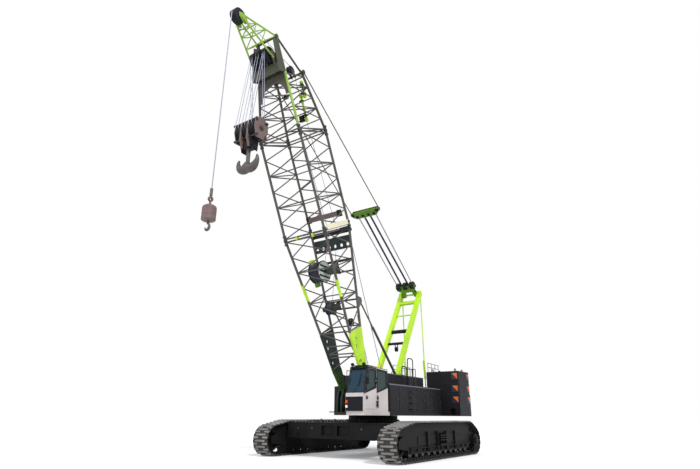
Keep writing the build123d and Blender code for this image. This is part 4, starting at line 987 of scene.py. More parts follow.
# lifting lug: places along and heights above the top
LUG_LOOP = ((-0.10, -0.02), (-0.10, 0.09), (-0.05, 0.14), (0.05, 0.14), (0.10, 0.09), (0.10, -0.02))
WEDGE_DROP, WEDGE_TALL, WEDGE_WIDE = 0.12, 0.30, 0.34
seams, lugs, wedges, fields = (bmesh.new() for _ in range(4))


def wedge_and_field(corner_top, inwards, out):
    """Wedge on its field, inwards and down from the top of a corner of the slab."""
    def on_slab(across, down):
        return corner_top + inwards * across - Vector(UP) * down

    right, low = WEDGE_WIDE + 0.09, WEDGE_TALL + 0.03
    field = ((0.05, -0.03), (right, -0.03), (right, low), (0.05, low))
    plate(fields, [on_slab(*p) for p in field], out * 0.003)
    lifted = [on_slab(*p) + out * 0.003 for p in ((0.09, 0), (WEDGE_WIDE + 0.05, 0), (0.09, WEDGE_TALL))]
    plate(wedges, lifted, out * 0.003)


for side in (-1, 1):
    outer = side * CW_HALF
    for z in CW_LEVELS[1:3]:
        brick(seams, (side * CW_IN, outer + side * 0.004), (CW_FRONT - 0.004, CW_REAR + 0.004),
              (z - 0.008, z + 0.008))
    for x in (CW_IN + 0.3, CW_HALF - 0.3):
        for y in (CW_FRONT + 0.3, CW_REAR - 0.3):
            sweep(lugs, [(side * x, y + dy, CW_LEVELS[3] + dz) for dy, dz in LUG_LOOP], 0.024, 8)
    for y in (CW_FRONT + 0.35, (CW_FRONT + CW_REAR) / 2, CW_REAR - 0.35):
        for z in (2.2, 2.65):
            turned(seams, [(0, 0.055), (0.012, 0.055), (0.014, 0.035)], (outer, y, z), (side, 0, 0), 18)
    for level in CW_LEVELS[1:]:
        top = level - WEDGE_DROP
        wedge_and_field(Vector((outer, CW_FRONT, top)), Vector((-side, 0, 0)), Vector((0, -1, 0)))
        wedge_and_field(Vector((outer, CW_REAR, top)), Vector((0, -1, 0)), Vector((side, 0, 0)))
piece("counterweight_seams", seams, "rubber", "upper")
piece("counterweight_lugs", lugs, "charcoal_paint", "upper")
piece("counterweight_fields", fields, "navy_paint", "upper")
piece("counterweight_wedges", wedges, "amber_paint", "upper")

# %% [markdown]
# ## Machinery houses
# The houses are sheet steel doors on a frame. Each door shows as a shallow panel with a black
# seam, a latch and two hinges; grilles are rows of slats; the roof is edged in a paler strip, and
# non-slip walkways run along it. The left one has hoops to hold on to.

# %% Doors, grilles and roof
HOUSE_OUT, HOUSE_TOP, BOX_TOP, BOX_INSET = 1.92, 3.27, 3.83, 0.42
DOOR_LOW, DOOR_HIGH = 2.05, 3.16
# doors: y range and kind; the first one is on the left house only
DOORS = ((-1.55, -0.72, "door"), (-0.66, 0.22, "door"), (0.28, 1.18, "grille"), (1.24, 2.14, "door"),
         (2.20, 3.10, "grille"), (3.16, 4.12, "door"))
SLATS, RIB_PITCH, BAR_PITCH = 15, 0.36, 0.10
doors, slats, fine, edge, walk_grid = (bmesh.new() for _ in range(5))


def door(side, face, y0, y1, kind):
    """Panel with its latch and hinges, and the slats or the pressed fields on it."""
    middle_z = (DOOR_LOW + DOOR_HIGH) / 2
    out = face + side * 0.022
    brick(doors, (face, face + side * 0.016), (y0, y1), (DOOR_LOW, DOOR_HIGH))
    turned(fine, [(-0.008, 0.04), (0.012, 0.04), (0.016, 0.03)], (out, y1 - 0.10, middle_z), (side, 0, 0), 14)
    brick(fine, (face + side * 0.03, face + side * 0.05), (y1 - 0.125, y1 - 0.075),
          (middle_z - 0.09, middle_z - 0.02))
    for z in (DOOR_LOW + 0.18, DOOR_HIGH - 0.18):
        tube(fine, (out, y0 + 0.005, z - 0.05), (out, y0 + 0.005, z + 0.05), 0.016, 8)
    if kind == "grille":
        low, high = face + side * 0.014, face + side * 0.040
        for k in range(SLATS):
            z = DOOR_LOW + 0.14 + (DOOR_HIGH - DOOR_LOW - 0.28) * k / (SLATS - 1)
            slat = ((low, z - 0.022), (high, z - 0.004), (high, z + 0.004), (low, z + 0.006))
            plate(slats, [(x, y0 + 0.10, height) for x, height in slat], (0, y1 - y0 - 0.20, 0))
    else:
        for z in (DOOR_LOW + 0.32, DOOR_LOW + 0.62):
            brick(doors, (face + side * 0.014, face + side * 0.024), (y0 + 0.12, y1 - 0.12), (z, z + 0.14))


for side, row, front in ((1, DOORS, -1.5), (-1, DOORS[1:], -0.64)):
    face = side * HOUSE_OUT
    for y0, y1, kind in row:
        door(side, face, y0, y1, kind)
    # paler strips along the roof edges, and the ribs of the upper box
    brick(edge, (face - side * 0.05, face + side * 0.006), (front - 0.12, 4.21),
          (HOUSE_TOP - 0.03, HOUSE_TOP + 0.022))
    box_wall = side * (HOUSE_OUT - BOX_INSET)
    brick(edge, (box_wall - side * 0.02, box_wall + side * 0.012), (front, 2.9),
          (BOX_TOP - 0.035, BOX_TOP + 0.004))
    for y in (front + RIB_PITCH * k for k in range(12)):
        if y < 2.85:
            brick(doors, (box_wall, box_wall + side * 0.010), (y, y + 0.30),
                  (HOUSE_TOP + 0.05, BOX_TOP - 0.07))
    # walkway on the lower roof: bars across and an edge along each side
    walk = (box_wall + side * 0.02, face - side * 0.06)
    for y in (front + 0.1 + BAR_PITCH * k for k in range(44)):
        if y < 4.15:
            tube(walk_grid, *((x, y, HOUSE_TOP + 0.03) for x in sorted(walk)), 0.006, 5)
    for x in walk:
        brick(walk_grid, (x - 0.008, x + 0.008), (front, 4.16), (HOUSE_TOP, HOUSE_TOP + 0.045))
piece("house_doors", doors, "charcoal_paint", "upper", 0.006)
piece("house_slats", slats, "dark_steel", "upper")
piece("house_latches", fine, "dark_steel", "upper", 0.003)
piece("house_roof_edges", edge, "roof_edge_paint", "upper", 0.004)
piece("house_walkways", walk_grid, "dark_steel", "upper")

# %% Rails, hoops, rungs and engine top
HOOPS = ((-0.20, 0.30, 4.22), (0.42, 1.00, 4.66))       # rear end, front end and top
HOOP_CORNER, BEND = 0.14, (0, 0.4, 0.8, 1.2, math.pi / 2)
RAIL_X, RAIL_FRONT, RAIL_TOP = 1.16, 4.28, 0.52
rails, engine_bits, stack, hoops = (bmesh.new() for _ in range(4))

hoop_x = HOUSE_OUT - 0.06
for y0, y1, top in HOOPS:
    bend = [(HOOP_CORNER * (1 - math.cos(a)), top - HOOP_CORNER * (1 - math.sin(a))) for a in BEND]
    line = [(y1, HOUSE_TOP), *((y1 - d, z) for d, z in bend)]
    line += [*((y0 + d, z) for d, z in bend[::-1]), (y0, HOUSE_TOP)]
    sweep(hoops, [(hoop_x, y, z) for y, z in line], 0.026, 8)
    for z in (HOUSE_TOP + 0.42, HOUSE_TOP + 0.84):
        tube(hoops, (hoop_x, y0, z), (hoop_x, y1, z), 0.018, 8)
for side in (1, -1):
    for k in range(4):
        z = 2.15 + 0.28 * k
        x = side * HOUSE_OUT
        staple(hoops, (x, 0.40, z), (x, 0.72, z), (side * 0.12, 0, 0), 0.01, 0.014)
    # guard rail on the counterweight; it drops a little towards the rear
    x, foot = side * RAIL_X, CW_LEVELS[3]
    for lift in (0.28, RAIL_TOP):
        tube(rails, (x, RAIL_FRONT - 0.02, foot + lift), (x, 5.74, foot + lift * 0.92), 0.022, 8)
    for k in range(4):
        y = RAIL_FRONT + 0.48 * k
        tube(rails, (x, y, foot - 0.01), (x, y, foot + RAIL_TOP * (1 - 0.027 * k)), 0.020, 8)
piece("house_hoops", hoops, "gloss_black", "upper")
piece("counterweight_rails", rails, "bare_steel", "upper")
for k in range(5):
    turned(engine_bits, [(0, 0.10), (0.10, 0.10), (0.14, 0.07)], (-0.28, 2.25 + 0.34 * k, 3.30), UP, 18)
sweep(engine_bits, [(0.30, y, z) for y, z in ((2.2, 3.32), (2.3, 3.48), (3.6, 3.48), (3.7, 3.32))], 0.07, 12)
barrel(engine_bits, (0.0, 2.45, 3.52), ACROSS, (0.30, 0.16), (0.28, 0.19), 28)
piece("engine_fittings", engine_bits, "engine_iron", "upper", 0.004)
turned(stack, [(0.0, 0.105), (0.05, 0.105), (0.05, 0.092), (0.52, 0.092), (0.54, 0.10), (0.66, 0.10)],
       (-1.3, 2.5, 3.87), UP, 24)
piece("exhaust_shield", stack, "bare_steel", "upper")
print("upper structure dressed")

# %% [markdown]
# ## Cab
# The light paint of the cab stops at the sills of the windows. Everything above it is black:
# window surrounds, pillars and the guarded roof. The front is black below the windscreen too,
# under a light sill. Rubber seals, a wiper, mirrors, lamps and the controls inside finish it.

# %% Window surrounds, roof and front
CAB_IN, CAB_OUT, CAB_FRONT, CAB_REAR, CAB_ROOF = 0.985, 1.92, -3.91, -1.756, 3.95
LINTEL, SCREEN_LOW, HINGE_GAP = CAB_ROOF - 0.09, 2.80, -2.79
SKIN = 0.005
# outlines (y, z) of glass and surround, on the door and on the panel behind it
DOOR_GLASS = ((-3.67, 2.83), (-3.41, LINTEL - 0.06), (-2.86, LINTEL - 0.06), (-2.86, 3.10))
DOOR_EDGE = ((-3.745, 2.77), (-3.448, LINTEL - 0.012), (-2.80, LINTEL - 0.012), (-2.80, 3.03))
REAR_GLASS = ((-2.69, 2.86), (-2.69, LINTEL - 0.03), (-1.88, LINTEL - 0.06), (-1.88, 3.13))
REAR_EDGE = ((-2.776, 2.80), (-2.776, CAB_ROOF - 0.05), (-1.765, CAB_ROOF - 0.11), (-1.765, 3.07))
# pillar between windscreen and door with the strip over the door, and the roof from front to rear
PILLAR = ((-3.905, 2.74), (-3.845, 2.80), (-3.565, CAB_ROOF - 0.07), (-3.50, CAB_ROOF - 0.012),
          (-2.785, CAB_ROOF - 0.03), (-2.785, LINTEL + 0.004), (-3.455, LINTEL + 0.004), (-3.762, 2.76))
ROOF = ((CAB_FRONT + 0.345, CAB_ROOF - 0.06), (CAB_FRONT + 0.42, CAB_ROOF + 0.004),
        (CAB_REAR - 0.06, CAB_ROOF - 0.036), (CAB_REAR + 0.006, CAB_ROOF - 0.11))
SCREEN_SLOPE = 0.29 / (CAB_ROOF - 0.06 - SCREEN_LOW)


def on_screen(x, z, lift=0.0):
    """Point on the plane of the windscreen."""
    return Vector((x, CAB_FRONT + 0.06 + (z - SCREEN_LOW) * SCREEN_SLOPE - lift, z))


def screen_ring(x0, x1, z0, z1):
    return [on_screen(x, z) for x, z in ((x0, z0), (x1, z0), (x1, z1), (x0, z1))]


def on_side(points, x=CAB_OUT):
    return [(x, y, z) for y, z in points]


surround, door_black, seals = (bmesh.new() for _ in range(3))
border(door_black, on_side(DOOR_GLASS), on_side(DOOR_EDGE), (SKIN, 0, 0))
border(surround, on_side(REAR_GLASS), on_side(REAR_EDGE), (SKIN, 0, 0))
plate(surround, on_side(PILLAR), (SKIN, 0, 0))
screen_in = screen_ring(CAB_IN + 0.05, CAB_OUT - 0.05, SCREEN_LOW + 0.015, CAB_ROOF - 0.075)
screen_out = screen_ring(CAB_IN + 0.004, CAB_OUT + SKIN, SCREEN_LOW - 0.005, CAB_ROOF - 0.05)
border(surround, screen_in, screen_out, (0, -SKIN, 0))
x0, x1 = CAB_IN - 0.004, CAB_OUT + 0.006
for (y0, z0), (y1, z1) in zip(ROOF, ROOF[1:]):
    plate(surround, [(x0, y0, z0), (x1, y0, z0), (x1, y1, z1), (x0, y1, z1)], (0, 0, 0.012))
# black lower front with a raised panel
brick(surround, (CAB_IN + 0.01, CAB_OUT - 0.015), (CAB_FRONT - SKIN, CAB_FRONT), (2.025, 2.63))
brick(surround, (CAB_IN + 0.16, CAB_OUT - 0.10), (CAB_FRONT - 0.014, CAB_FRONT - SKIN), (2.12, 2.54))
for bm, glass in ((door_black, DOOR_GLASS), (seals, REAR_GLASS)):
    sweep(bm, on_side(glass, CAB_OUT - 0.006), 0.012, 6, closed=True)
sweep(seals, [p + Vector((0, 0.004, 0)) for p in screen_in], 0.014, 6, closed=True)
piece("cab_black_parts", surround, "gloss_black", "upper")
piece("cab_door_surround", door_black, "gloss_black", "door")
piece("cab_seals", seals, "rubber", "upper")

# %% Guard bars, wiper, mirrors, handles and lamps
MIRRORS = ((CAB_OUT, 0.16, -3.83, 3.30), (CAB_IN, -0.14, -3.93, 3.42))      # wall, reach, y and z
HINGES = ((2.235, 2.465), (3.232, 3.468))
GUARD_LINE = ((-3.55, 0.01), (-3.47, 0.055), (-2.75, 0.05), (-2.68, 0.01))      # y and height over the roof
BEACON_X, BEACON_Y = 1.62, -2.02
bars, chrome, amber, red, white = (bmesh.new() for _ in range(5))
# guard over the roof window and the visor over the windscreen
for k in range(6):
    x = CAB_IN + 0.10 + 0.147 * k
    sweep(bars, [(x, y, CAB_ROOF + lift) for y, lift in GUARD_LINE], 0.012, 6)
for y in (-3.44, -3.1, -2.78):
    tube(bars, (CAB_IN + 0.08, y, CAB_ROOF + 0.058), (CAB_OUT - 0.08, y, CAB_ROOF + 0.058), 0.012, 6)
plate(bars, [on_screen(CAB_IN + 0.03, CAB_ROOF - 0.06), on_screen(CAB_OUT - 0.03, CAB_ROOF - 0.06),
             on_screen(CAB_OUT - 0.05, LINTEL, 0.10), on_screen(CAB_IN + 0.05, LINTEL, 0.10)], (0, 0, 0.008))
# wiper: hub, arm and blade on the glass
hub = on_screen(1.40, 2.84, 0.02)
turned(bars, [(0, 0.028), (0.03, 0.028)], hub, (0, -1, 0), 12)
tube(bars, hub + Vector((0, -0.02, 0)), on_screen(1.62, 3.36, 0.03), 0.009, 6)
tube(bars, on_screen(1.60, 3.08, 0.022), on_screen(1.64, 3.66, 0.022), 0.011, 6)
# mirrors on stalks at both front corners, lamp housings on the roof
for wall, reach, y, z in MIRRORS:
    x = wall + reach
    sweep(bars, [(wall, -3.80, 2.98), (x, -3.86, 3.0), (x, y, z - 0.16), (x, y, z + 0.16)], 0.012, 8)
    brick(bars, (x - 0.085, x + 0.085), (y - 0.02, y + 0.035), (z - 0.15, z + 0.15))
    brick(chrome, (x - 0.075, x + 0.075), (y + 0.036, y + 0.040), (z - 0.14, z + 0.14))
for x in (CAB_IN + 0.16, CAB_OUT - 0.16):
    turned(bars, [(-0.02, 0.05), (0.0, 0.075), (0.075, 0.078), (0.08, 0.07)], (x, -3.56, CAB_ROOF + 0.09),
           (0, -1, 0), 18)
# door handle, second latch, hand rail and hinge covers
for y, body in ((-3.62, "door"), (-2.70, "upper")):
    handle = bmesh.new()
    brick(handle, (CAB_OUT, CAB_OUT + 0.012), (y - 0.055, y + 0.055), (2.52, 2.68))
    staple(handle, (CAB_OUT + 0.01, y, 2.55), (CAB_OUT + 0.01, y, 2.66), (0.04, 0, 0), 0.02, 0.013)
    piece(f"cab_handle_{body}", handle, "gloss_black", body, 0.003)
staple(bars, (CAB_OUT, -2.735, 2.16), (CAB_OUT, -2.735, 2.74), (0.06, 0, 0), 0.04, 0.012)
for z0, z1 in HINGES:
    turned(bars, [(z0, 0.042), (z1, 0.042)], (1.942, HINGE_GAP, 0), UP, 16)
# lamps at the inner front corner, beacon on the roof
brick(red, (CAB_IN + 0.012, CAB_IN + 0.115), (CAB_FRONT - 0.035, CAB_FRONT - 0.004), (2.36, 2.49))
brick(white, (CAB_IN + 0.015, CAB_IN + 0.110), (CAB_FRONT - 0.030, CAB_FRONT - 0.004), (2.17, 2.27))
turned(bars, [(0, 0.06), (0.05, 0.06)], (BEACON_X, BEACON_Y, CAB_ROOF - 0.04), UP, 20)
turned(amber, [(0.0, 0.055), (0.10, 0.052), (0.13, 0.03)], (BEACON_X, BEACON_Y, CAB_ROOF + 0.01), UP, 20)
piece("cab_bars_and_stalks", bars, "gloss_black", "upper")
piece("cab_mirror_glass", chrome, "mirror", "upper")
piece("cab_red_lamp", red, "red_lamp", "upper")
piece("cab_white_lamps", white, "white_lamp", "upper")
piece("cab_beacon", amber, "amber_lamp", "upper")

# %% Controls behind the glass
SEAT_X = 1.4525
inside = bmesh.new()
brick(inside, (1.12, 1.30), (-3.55, -3.38), (2.08, 2.62))
plate(inside, [(1.06, -3.62, 2.62), (1.36, -3.62, 2.62), (1.36, -3.40, 2.72), (1.06, -3.40, 2.72)],
      (0, 0, 0.03))
# consoles on both sides of the seat, with levers
for x, span in ((1.14, (1.03, 1.24)), (1.75, (1.66, 1.84))):
    brick(inside, span, (-2.95, -2.40), (2.08, 2.58))
    for y in (-2.88, -2.76):
        tube(inside, (x, y, 2.58), (x, y - 0.02, 2.76), 0.012, 8)
        turned(inside, [(0, 0.02), (0.02, 0.028), (0.06, 0.024), (0.07, 0.01)], (x, y - 0.02, 2.74), UP, 12)
# pedals
for x in (1.40, 1.52):
    plate(inside, [(x, -3.60, 2.10), (x + 0.08, -3.60, 2.10), (x + 0.08, -3.50, 2.24), (x, -3.50, 2.24)],
          (0, -0.01, 0.01))
# screen on a stalk at the right pillar, head rest and arm rests of the seat
brick(inside, (1.08, 1.36), (-3.50, -3.46), (2.86, 3.05))
tube(inside, (1.22, -3.47, 2.70), (1.22, -3.48, 2.90), 0.014, 8)
barrel(inside, (SEAT_X, -2.18, 3.24), ACROSS, (0.13, 0.05), (0.11, 0.075), 16)
for x in (1.24, 1.66):
    brick(inside, (x - 0.035, x + 0.035), (-2.72, -2.30), (2.72, 2.78))
piece("cab_controls", inside, "grey_plastic", "upper", 0.006)
print("cab dressed")

# %% [markdown]
# ## Hook block, bridle and gantry head
# A hook block is a stack of black sheaves between brown cheek plates, tied by rods; two long
# straps in its middle carry the trunnion of the hook. Bridle and gantry head hold the same kind of
# sheaves in green plates, with the black ends of their axles showing.

# %% Hook block
CHEEK_X, STRAP_X, TRUNNION_X, BLOCK_SHEAVE_Y = 0.60, 0.20, 0.33, 0.03
# outlines (y, z) about the axle of the sheaves: outer cheek, strap, skirt of the trunnion
CHEEK = ((-0.34, 0.34), (-0.08, 0.54), (0.16, 0.54), (0.42, 0.38), (0.46, -0.03), (0.34, -0.47),
         (-0.22, -0.52), (-0.36, -0.04))
STRAP = ((-0.37, 0.30), (-0.30, 0.40), (0.20, 0.42), (0.30, 0.10), (0.20, -0.86), (-0.20, -0.86),
         (-0.31, -0.52))
SKIRT = ((-0.28, -0.45), (0.22, -0.45), (0.18, -0.98), (-0.10, -0.98))
GROOVE = ((-0.045, 0.10), (-0.045, 0.43), (-0.030, 0.43), (0.0, 0.385), (0.030, 0.43), (0.045, 0.43),
          (0.045, 0.10))
# tie rods: y, z and radius
TIE_RODS = ((-0.31, 0.33, 0.042), (0.34, 0.34, 0.042), (0.30, -0.42, 0.036), (-0.24, -0.42, 0.036))
cheeks, wheels, ties = (bmesh.new() for _ in range(3))


def on_block(x, y, z):
    return BLOCK_AXLE + Vector((x, y, z))


def block_plate(bm, outline, x, thick):
    plate(bm, [on_block(x - thick / 2, y, z) for y, z in outline], (thick, 0, 0))


for way in (-1, 1):
    outwards = (way, 0, 0)
    block_plate(cheeks, CHEEK, way * CHEEK_X, 0.05)
    cap = on_block(way * (CHEEK_X + 0.025), 0.04, 0)
    turned(ties, [(0, 0.13), (0.02, 0.13), (0.03, 0.085), (0.05, 0.085), (0.06, 0.05)], cap, outwards, 24)
    for y, z in ((-0.22, 0.28), (0.24, 0.30), (0.30, -0.30), (-0.16, -0.36)):
        bolt(ties, on_block(way * (CHEEK_X + 0.025), y, z), outwards, 0.036, 0.03)
    # strap with a flange on its front edge
    x = way * STRAP_X
    block_plate(cheeks, STRAP, x, 0.036)
    low, high = on_block(x - 0.05, -0.385, -0.52), on_block(x + 0.05, -0.345, 0.30)
    brick(cheeks, *zip(low, high))
    tube(cheeks, on_block(x, -0.36, -0.50), on_block(x, -0.22, -0.86), 0.045, 8)
for group in (-0.40, 0.0, 0.40):
    for dx in (-0.105, 0.0, 0.105):
        turned(wheels, GROOVE, on_block(group + dx, BLOCK_SHEAVE_Y, 0), ACROSS, 48)
    # curved rope guard over the group
    arc = [(BLOCK_SHEAVE_Y + y, z) for y, z in circle(0.47, 36, math.radians(50))[:9]]
    for (y0, z0), (y1, z1) in zip(arc, arc[1:]):
        quad = ((-0.13, y0, z0), (0.13, y0, z0), (0.13, y1, z1), (-0.13, y1, z1))
        plate(wheels, [on_block(group + x, y, z) for x, y, z in quad], (0, 0, 0.012))
# trunnion of the hook between the straps, with its ends and skirts
brick(wheels, *zip(on_block(-0.30, -0.19, -0.86), on_block(0.30, 0.19, -0.70)))
for x in (-TRUNNION_X, TRUNNION_X):
    disc(wheels, on_block(x, 0, -0.78), ACROSS, 0.05, 0.12, 24)
    block_plate(wheels, SKIRT, x, 0.03)
for y, z, radius in TIE_RODS:
    tube(ties, on_block(-0.68, y, z), on_block(0.68, y, z), radius, 14)
    for x in (-0.66, 0.66):
        disc(ties, on_block(x, y, z), ACROSS, 0.03, radius + 0.025, 6)
block_body = piece("hook_block_cheeks", cheeks, "block_paint", "main_block", 0.008)
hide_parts("hook_block")
piece("hook_block_sheaves", wheels, "sheave_iron", "main_block", 0.004)
piece("hook_block_rods", ties, "dark_steel", "main_block", 0.004)

# %% Bridle and gantry head
RIM = ((-0.053, 0.12), (-0.053, 0.240), (-0.036, 0.243), (0.0, 0.232), (0.036, 0.243), (0.053, 0.240),
       (0.053, 0.12))
LOW_BAR, HIGH_BAR, BAR_HALF = 0.46, 0.585, 0.50     # shares of the gantry leg, and half a sleeve
ends, rims, bars = (bmesh.new() for _ in range(3))
for x in (-0.56, -0.19, 0.19, 0.56):
    for way in (-1, 1):
        turned(ends, [(0, 0.085), (0.03, 0.085), (0.035, 0.055), (0.055, 0.055)],
               on_rope(ROPE_LENGTH - 0.09, way * 0.125, x), ROPE_TOP * way, 20)
for x in (-0.80, 0.80):
    barrel(ends, on_rope(ROPE_LENGTH + 0.06, 0, x), ROPE_TOP, (0.16, 0.06), (0.15, 0.10), 20)
piece("bridle_axle_ends", ends, "sheave_iron", "bridle", 0.003)
for x in (-0.46, 0.0, 0.46):
    for dx in (-0.058, 0.058):
        turned(rims, RIM, on_rope(GANTRY_SHEAVE_S, 0, x + dx), ACROSS, 40)
    barrel(rims, on_rope(GANTRY_SHEAVE_S, 0, x), ACROSS, (0.162, 0.05), (0.158, 0.078), 20)
piece("gantry_sheave_rims", rims, "sheave_iron", "luffing_tackle", 0.003)
# black sleeves on the two middle cross bars of the gantry, and the lead sheave under the lower one
for share, radius in ((LOW_BAR, 0.075), (HIGH_BAR, 0.112)):
    at = GANTRY_FOOT.lerp(GANTRY_TOP, share)
    tube(bars, at - Vector((BAR_HALF, 0, 0)), at + Vector((BAR_HALF, 0, 0)), radius, 16)
lead_sheave = GANTRY_FOOT.lerp(GANTRY_TOP, LOW_BAR) - Vector((0, 0, 0.32))
turned(bars, [(-0.05, 0.05), (-0.05, 0.15), (-0.02, 0.12), (0.02, 0.12), (0.05, 0.15), (0.05, 0.05)],
       lead_sheave, ACROSS, 32)
for way in (-1, 1):
    hanger = ((-0.05, -0.06), (0.05, -0.06), (0.05, 0.32), (-0.05, 0.32))
    plate(bars, [lead_sheave + Vector((way * 0.07, y, z)) for y, z in hanger], (way * 0.012, 0, 0))
piece("gantry_black_bars", bars, "gloss_black", "upper", 0.003)
print("block, bridle and gantry head dressed")

# %% [markdown]
# ## On the boom
# Between the chords ride the winches with their wound rope, boxes and rollers that lead the ropes,
# and spare pendant bars stowed on the rear face. The hoist ropes leave the drums, pass the roller
# above the winches and run up behind the boom to the guide sheaves, and over the head.

# %% Drums with their rope
STRAND = 0.014      # radius of the wound rope


def wound_drum(name, u, n, x0, x1, core, shaft_end, banded):
    """Drum full of dark rope between flanges at x0 and x1, on a shaft; one has a pale banded end."""
    at = on_boom(u, n)
    flange = core + 0.05
    coils = [(x0 + 0.05, core * 0.8)]
    for k in range(int((x1 - x0 - 0.10) / (2 * STRAND))):
        s = x0 + 0.05 + 2 * STRAND * k
        bulge = core + (0.012 if (k // 4) % 2 else 0.0)
        coils += [(s, bulge - STRAND * 0.7), (s + STRAND * 0.5, bulge), (s + STRAND * 1.5, bulge),
                  (s + STRAND * 2, bulge - STRAND * 0.7)]
    coils.append((x1 - 0.05, core * 0.8))
    ropes, dark = bmesh.new(), bmesh.new()
    turned(ropes, coils, at, ACROSS, 56)
    for end, way in ((x0, 1), (x1, -1)):
        turned(dark, [(end, 0.10), (end, flange - 0.015), (end + way * 0.015, flange),
                      (end + way * 0.045, flange), (end + way * 0.05, core * 0.7)], at, ACROSS, 56)
    turned(dark, [(x1 - 0.01, 0.10), (shaft_end, 0.10)], at, ACROSS, 24)
    if banded:
        pale = bmesh.new()
        turned(pale, [(x1 + 0.002, flange - 0.04), (x1 + 0.014, flange - 0.06), (x1 + 0.014, 0.12)],
               at, ACROSS, 56)
        for height in (-0.26, -0.02, 0.24):
            half = math.sqrt((flange - 0.07) ** 2 - height ** 2)
            z = at.z + height
            brick(dark, (x1, x1 + 0.034), (at.y - half, at.y + half), (z - 0.045, z + 0.045))
        piece(f"{name}_end", pale, "pale_paint", "boom", 0.003)
    wound = piece(f"{name}_rope", ropes, "dark_rope", "boom")
    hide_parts(name)
    piece(f"{name}_flange", dark, "winch_paint", "boom", 0.004)


wound_drum("main_drum", 6.15, 0.10, -0.70, -0.08, 0.50, 0.17, True)
wound_drum("aux_drum", 4.24, 0.06, -0.47, -0.14, 0.26, -0.10, False)

# %% Sleeves, boards, boxes and stowed bars
REAR_N = -1.05      # axis of the stowed bars
# boxes on the boom by finish: ranges of u, n and x
LIME_BOXES = (((6.50, 6.82), (0.02, 0.30), (-0.72, -0.58)),)
GREEN_BOXES = (((5.44, 5.72), (0.00, 0.30), (-0.72, -0.58)),)
# duct under the board, ends of the cross box, boxes among the stowed bars
BLACK_BOXES = (((7.86, 8.06), (-1.04, -0.15), (1.205, 1.235)), ((8.60, 8.94), (-1.23, -0.94), (-1.19, -1.06)),
               ((8.60, 8.94), (-1.23, -0.94), (0.76, 0.89)), ((13.66, 13.98), (-1.02, -0.84), (0.0, 0.22)),
               ((15.05, 15.25), (-0.98, -0.84), (-0.62, -0.40)))
# cross box on the rear face, and the name board on the left face, which is left blank
BROWN_BOXES = (((8.64, 8.90), (-1.20, -0.97), (-1.06, 0.76)),)
CREAM_BOXES = (((8.12, 8.37), (-1.04, 0.86), (1.215, 1.235)),)
# stowed pendant bars: x and range of u
STOWED = ((0.30, 13.72, 14.92), (0.52, 14.86, 15.56))


def bottom_corner(u, which):
    """Centre of a chord of the bottom section at u."""
    low, high = SECTIONS[0][1:3]
    return corner(low, high, (u - low[0]) / (high[0] - low[0]), which)


def boom_box(bm, u, n, x):
    """Block between pairs of u, n and x on the boom."""
    (u0, u1), (n0, n1), (x0, x1) = u, n, x
    plate(bm, [on_boom(u0, n0, x0), on_boom(u0, n0, x1), on_boom(u0, n1, x1), on_boom(u0, n1, x0)],
          ALONG_BOOM * (u1 - u0))


def boxes(table):
    bm = bmesh.new()
    for u, n, x in table:
        boom_box(bm, u, n, x)
    return bm


sleeves, green, black = boxes(LIME_BOXES), boxes(GREEN_BOXES), boxes(BLACK_BOXES)
for c in (0, 1):
    tube(sleeves, bottom_corner(4.95, c), bottom_corner(5.72, c), CHORD_R + 0.010, 16)
    for u in (4.95, 5.34, 5.72):
        disc(sleeves, bottom_corner(u, c), ALONG_BOOM, 0.03, CHORD_R + 0.025, 16)
for x in (-0.47, 0.50):
    barrel(sleeves, on_boom(8.05, 1.09, x), ACROSS, (0.05, 0.07), (0.04, 0.10), 16)
barrel(black, on_boom(3.48, 0.12, 0.72), ACROSS, (0.10, 0.15), (0.06, 0.19), 20)
# pendant bars stowed on the rear face of the top section, on brackets
for x, u0, u1 in STOWED:
    boom_box(sleeves, (u0, u1), (REAR_N - 0.04, REAR_N + 0.04), (x - 0.05, x + 0.05))
    for u in (u0, u1):
        disc(sleeves, on_boom(u, REAR_N, x), ACROSS, 0.05, 0.10, 18)
    for u in (u0 + (u1 - u0) * 0.2, u0 + (u1 - u0) * 0.8):
        boom_box(black, (u - 0.04, u + 0.04), (-1.12, -0.90), (x - 0.09, x + 0.09))
# bosses on the foot pins
for x in (-0.77, 0.77):
    barrel(green, on_boom(0, 0, x), ACROSS, (0.10, 0.13), (0.09, 0.15), 24)
piece("boom_sleeves", sleeves, "lime_paint", "boom", 0.004)
piece("boom_green_parts", green, "deep_green", "boom", 0.004)
piece("boom_black_boxes", black, "gloss_black", "boom", 0.006)
piece("boom_cross_box", boxes(BROWN_BOXES), "block_paint", "boom", 0.006)
piece("boom_board", boxes(CREAM_BOXES), "cream_paint", "boom", 0.003)

# %% Skins of the holed plate
SHIELD_LOW, SHIELD_HIGH = 6.98, 7.62        # ends of the plate along the boom
HOLES_X, HOLE_R = (-0.95, -0.57, -0.19, 0.19, 0.57, 0.95), 0.098
HOLE_UP, STEP_UP = 0.30, 0.65       # height of the holes and of a second row of corners, as shares
SKIN_SHIFT = 0.025
CELLS_X = (-1.0, *((a + b) / 2 for a, b in zip(HOLES_X, HOLES_X[1:])), 1.0)

low_corner, high_corner = bottom_corner(SHIELD_LOW, 2), bottom_corner(SHIELD_HIGH, 2)
shield_foot = Vector((0, low_corner.y, low_corner.z))
shield_rise = Vector((0, high_corner.y, high_corner.z)) - shield_foot
shield_out = Vector(ACROSS).cross(shield_rise.normalized())
shield_out *= math.copysign(1, shield_out.dot(TO_LOAD))


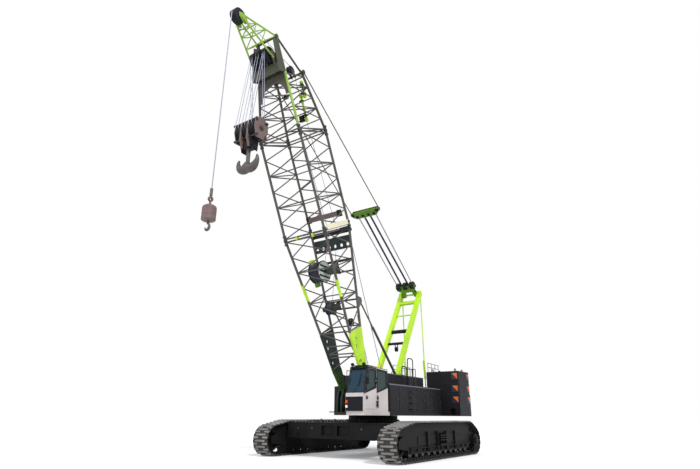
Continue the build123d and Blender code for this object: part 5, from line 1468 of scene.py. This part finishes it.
def shield_rim(edge, up):
    """Corner of a cell; the outermost cells follow the chords."""
    half = abs(low_corner.x) + (abs(high_corner.x) - abs(low_corner.x)) * up
    return shield_foot + shield_rise * up + Vector((edge * half if abs(edge) == 1 else edge, 0, 0))


slate = bmesh.new()
for shift in (SKIN_SHIFT, -SKIN_SHIFT):
    for x, left, right in zip(HOLES_X, CELLS_X, CELLS_X[1:]):
        centre = shield_foot + shield_rise * HOLE_UP + Vector((x, 0, 0))
        rim = [shield_rim(right, up) for up in (0, HOLE_UP, STEP_UP, 1)]
        rim += [shield_rim(left, up) for up in (1, STEP_UP, HOLE_UP, 0)]
        hole = [centre + (p - centre).normalized() * HOLE_R for p in rim]
        border(slate, [p + shield_out * shift for p in hole], [p + shield_out * shift for p in rim],
               shield_out * math.copysign(0.002, shift))
piece("boom_shield_skin", slate, "slate_paint", "boom")

# %% Hoist ropes up the back of the boom
# rope: x at the drum, its u and reach, x along the boom, last point
HOISTS = ((-0.30, 6.15, 0.50, -0.26, on_boom(HEAD_U + 0.22, HEAD_N - 0.30, -0.325)),
          (-0.34, 4.24, 0.28, 0.26, on_boom(TIP_U + 0.10, TIP_N - 0.32, 0.0)))
# lines between deck and boom: end on the boom, end on the deck
DECK_LINES = ((on_boom(6.95, -1.18, 1.04), (0.62, 0.30, 3.05)),
              (on_boom(3.6, -0.72, 0.62), (0.40, -0.35, 2.5)))
hoist, lead = bmesh.new(), bmesh.new()
for x_drum, u, reach, x, last in HOISTS:
    sweep(hoist, [on_boom(u + reach * 0.6, -reach * 0.7, x_drum), on_boom(KINK - 0.22, -1.325, x),
                  on_boom(TOP_END + 0.42, -0.975, x), on_boom(TOP_END + 0.60, -0.88, x), last], 0.013, 6)
piece("hoist_ropes", hoist, "hoist_rope", "boom")
for high_end, low_end in DECK_LINES:
    tube(lead, low_end, high_end, 0.020, 6)
lead_lines = piece("deck_lines", lead, "hoist_rope", None)
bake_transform(lead_lines)
print("boom dressed")

# %% [markdown]
# ## Done
# The last step prints the size of the dressed crane.

# %% Print the dressed size
low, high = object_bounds()
print("dressed size", [round(b - a, 3) for a, b in zip(low, high)])
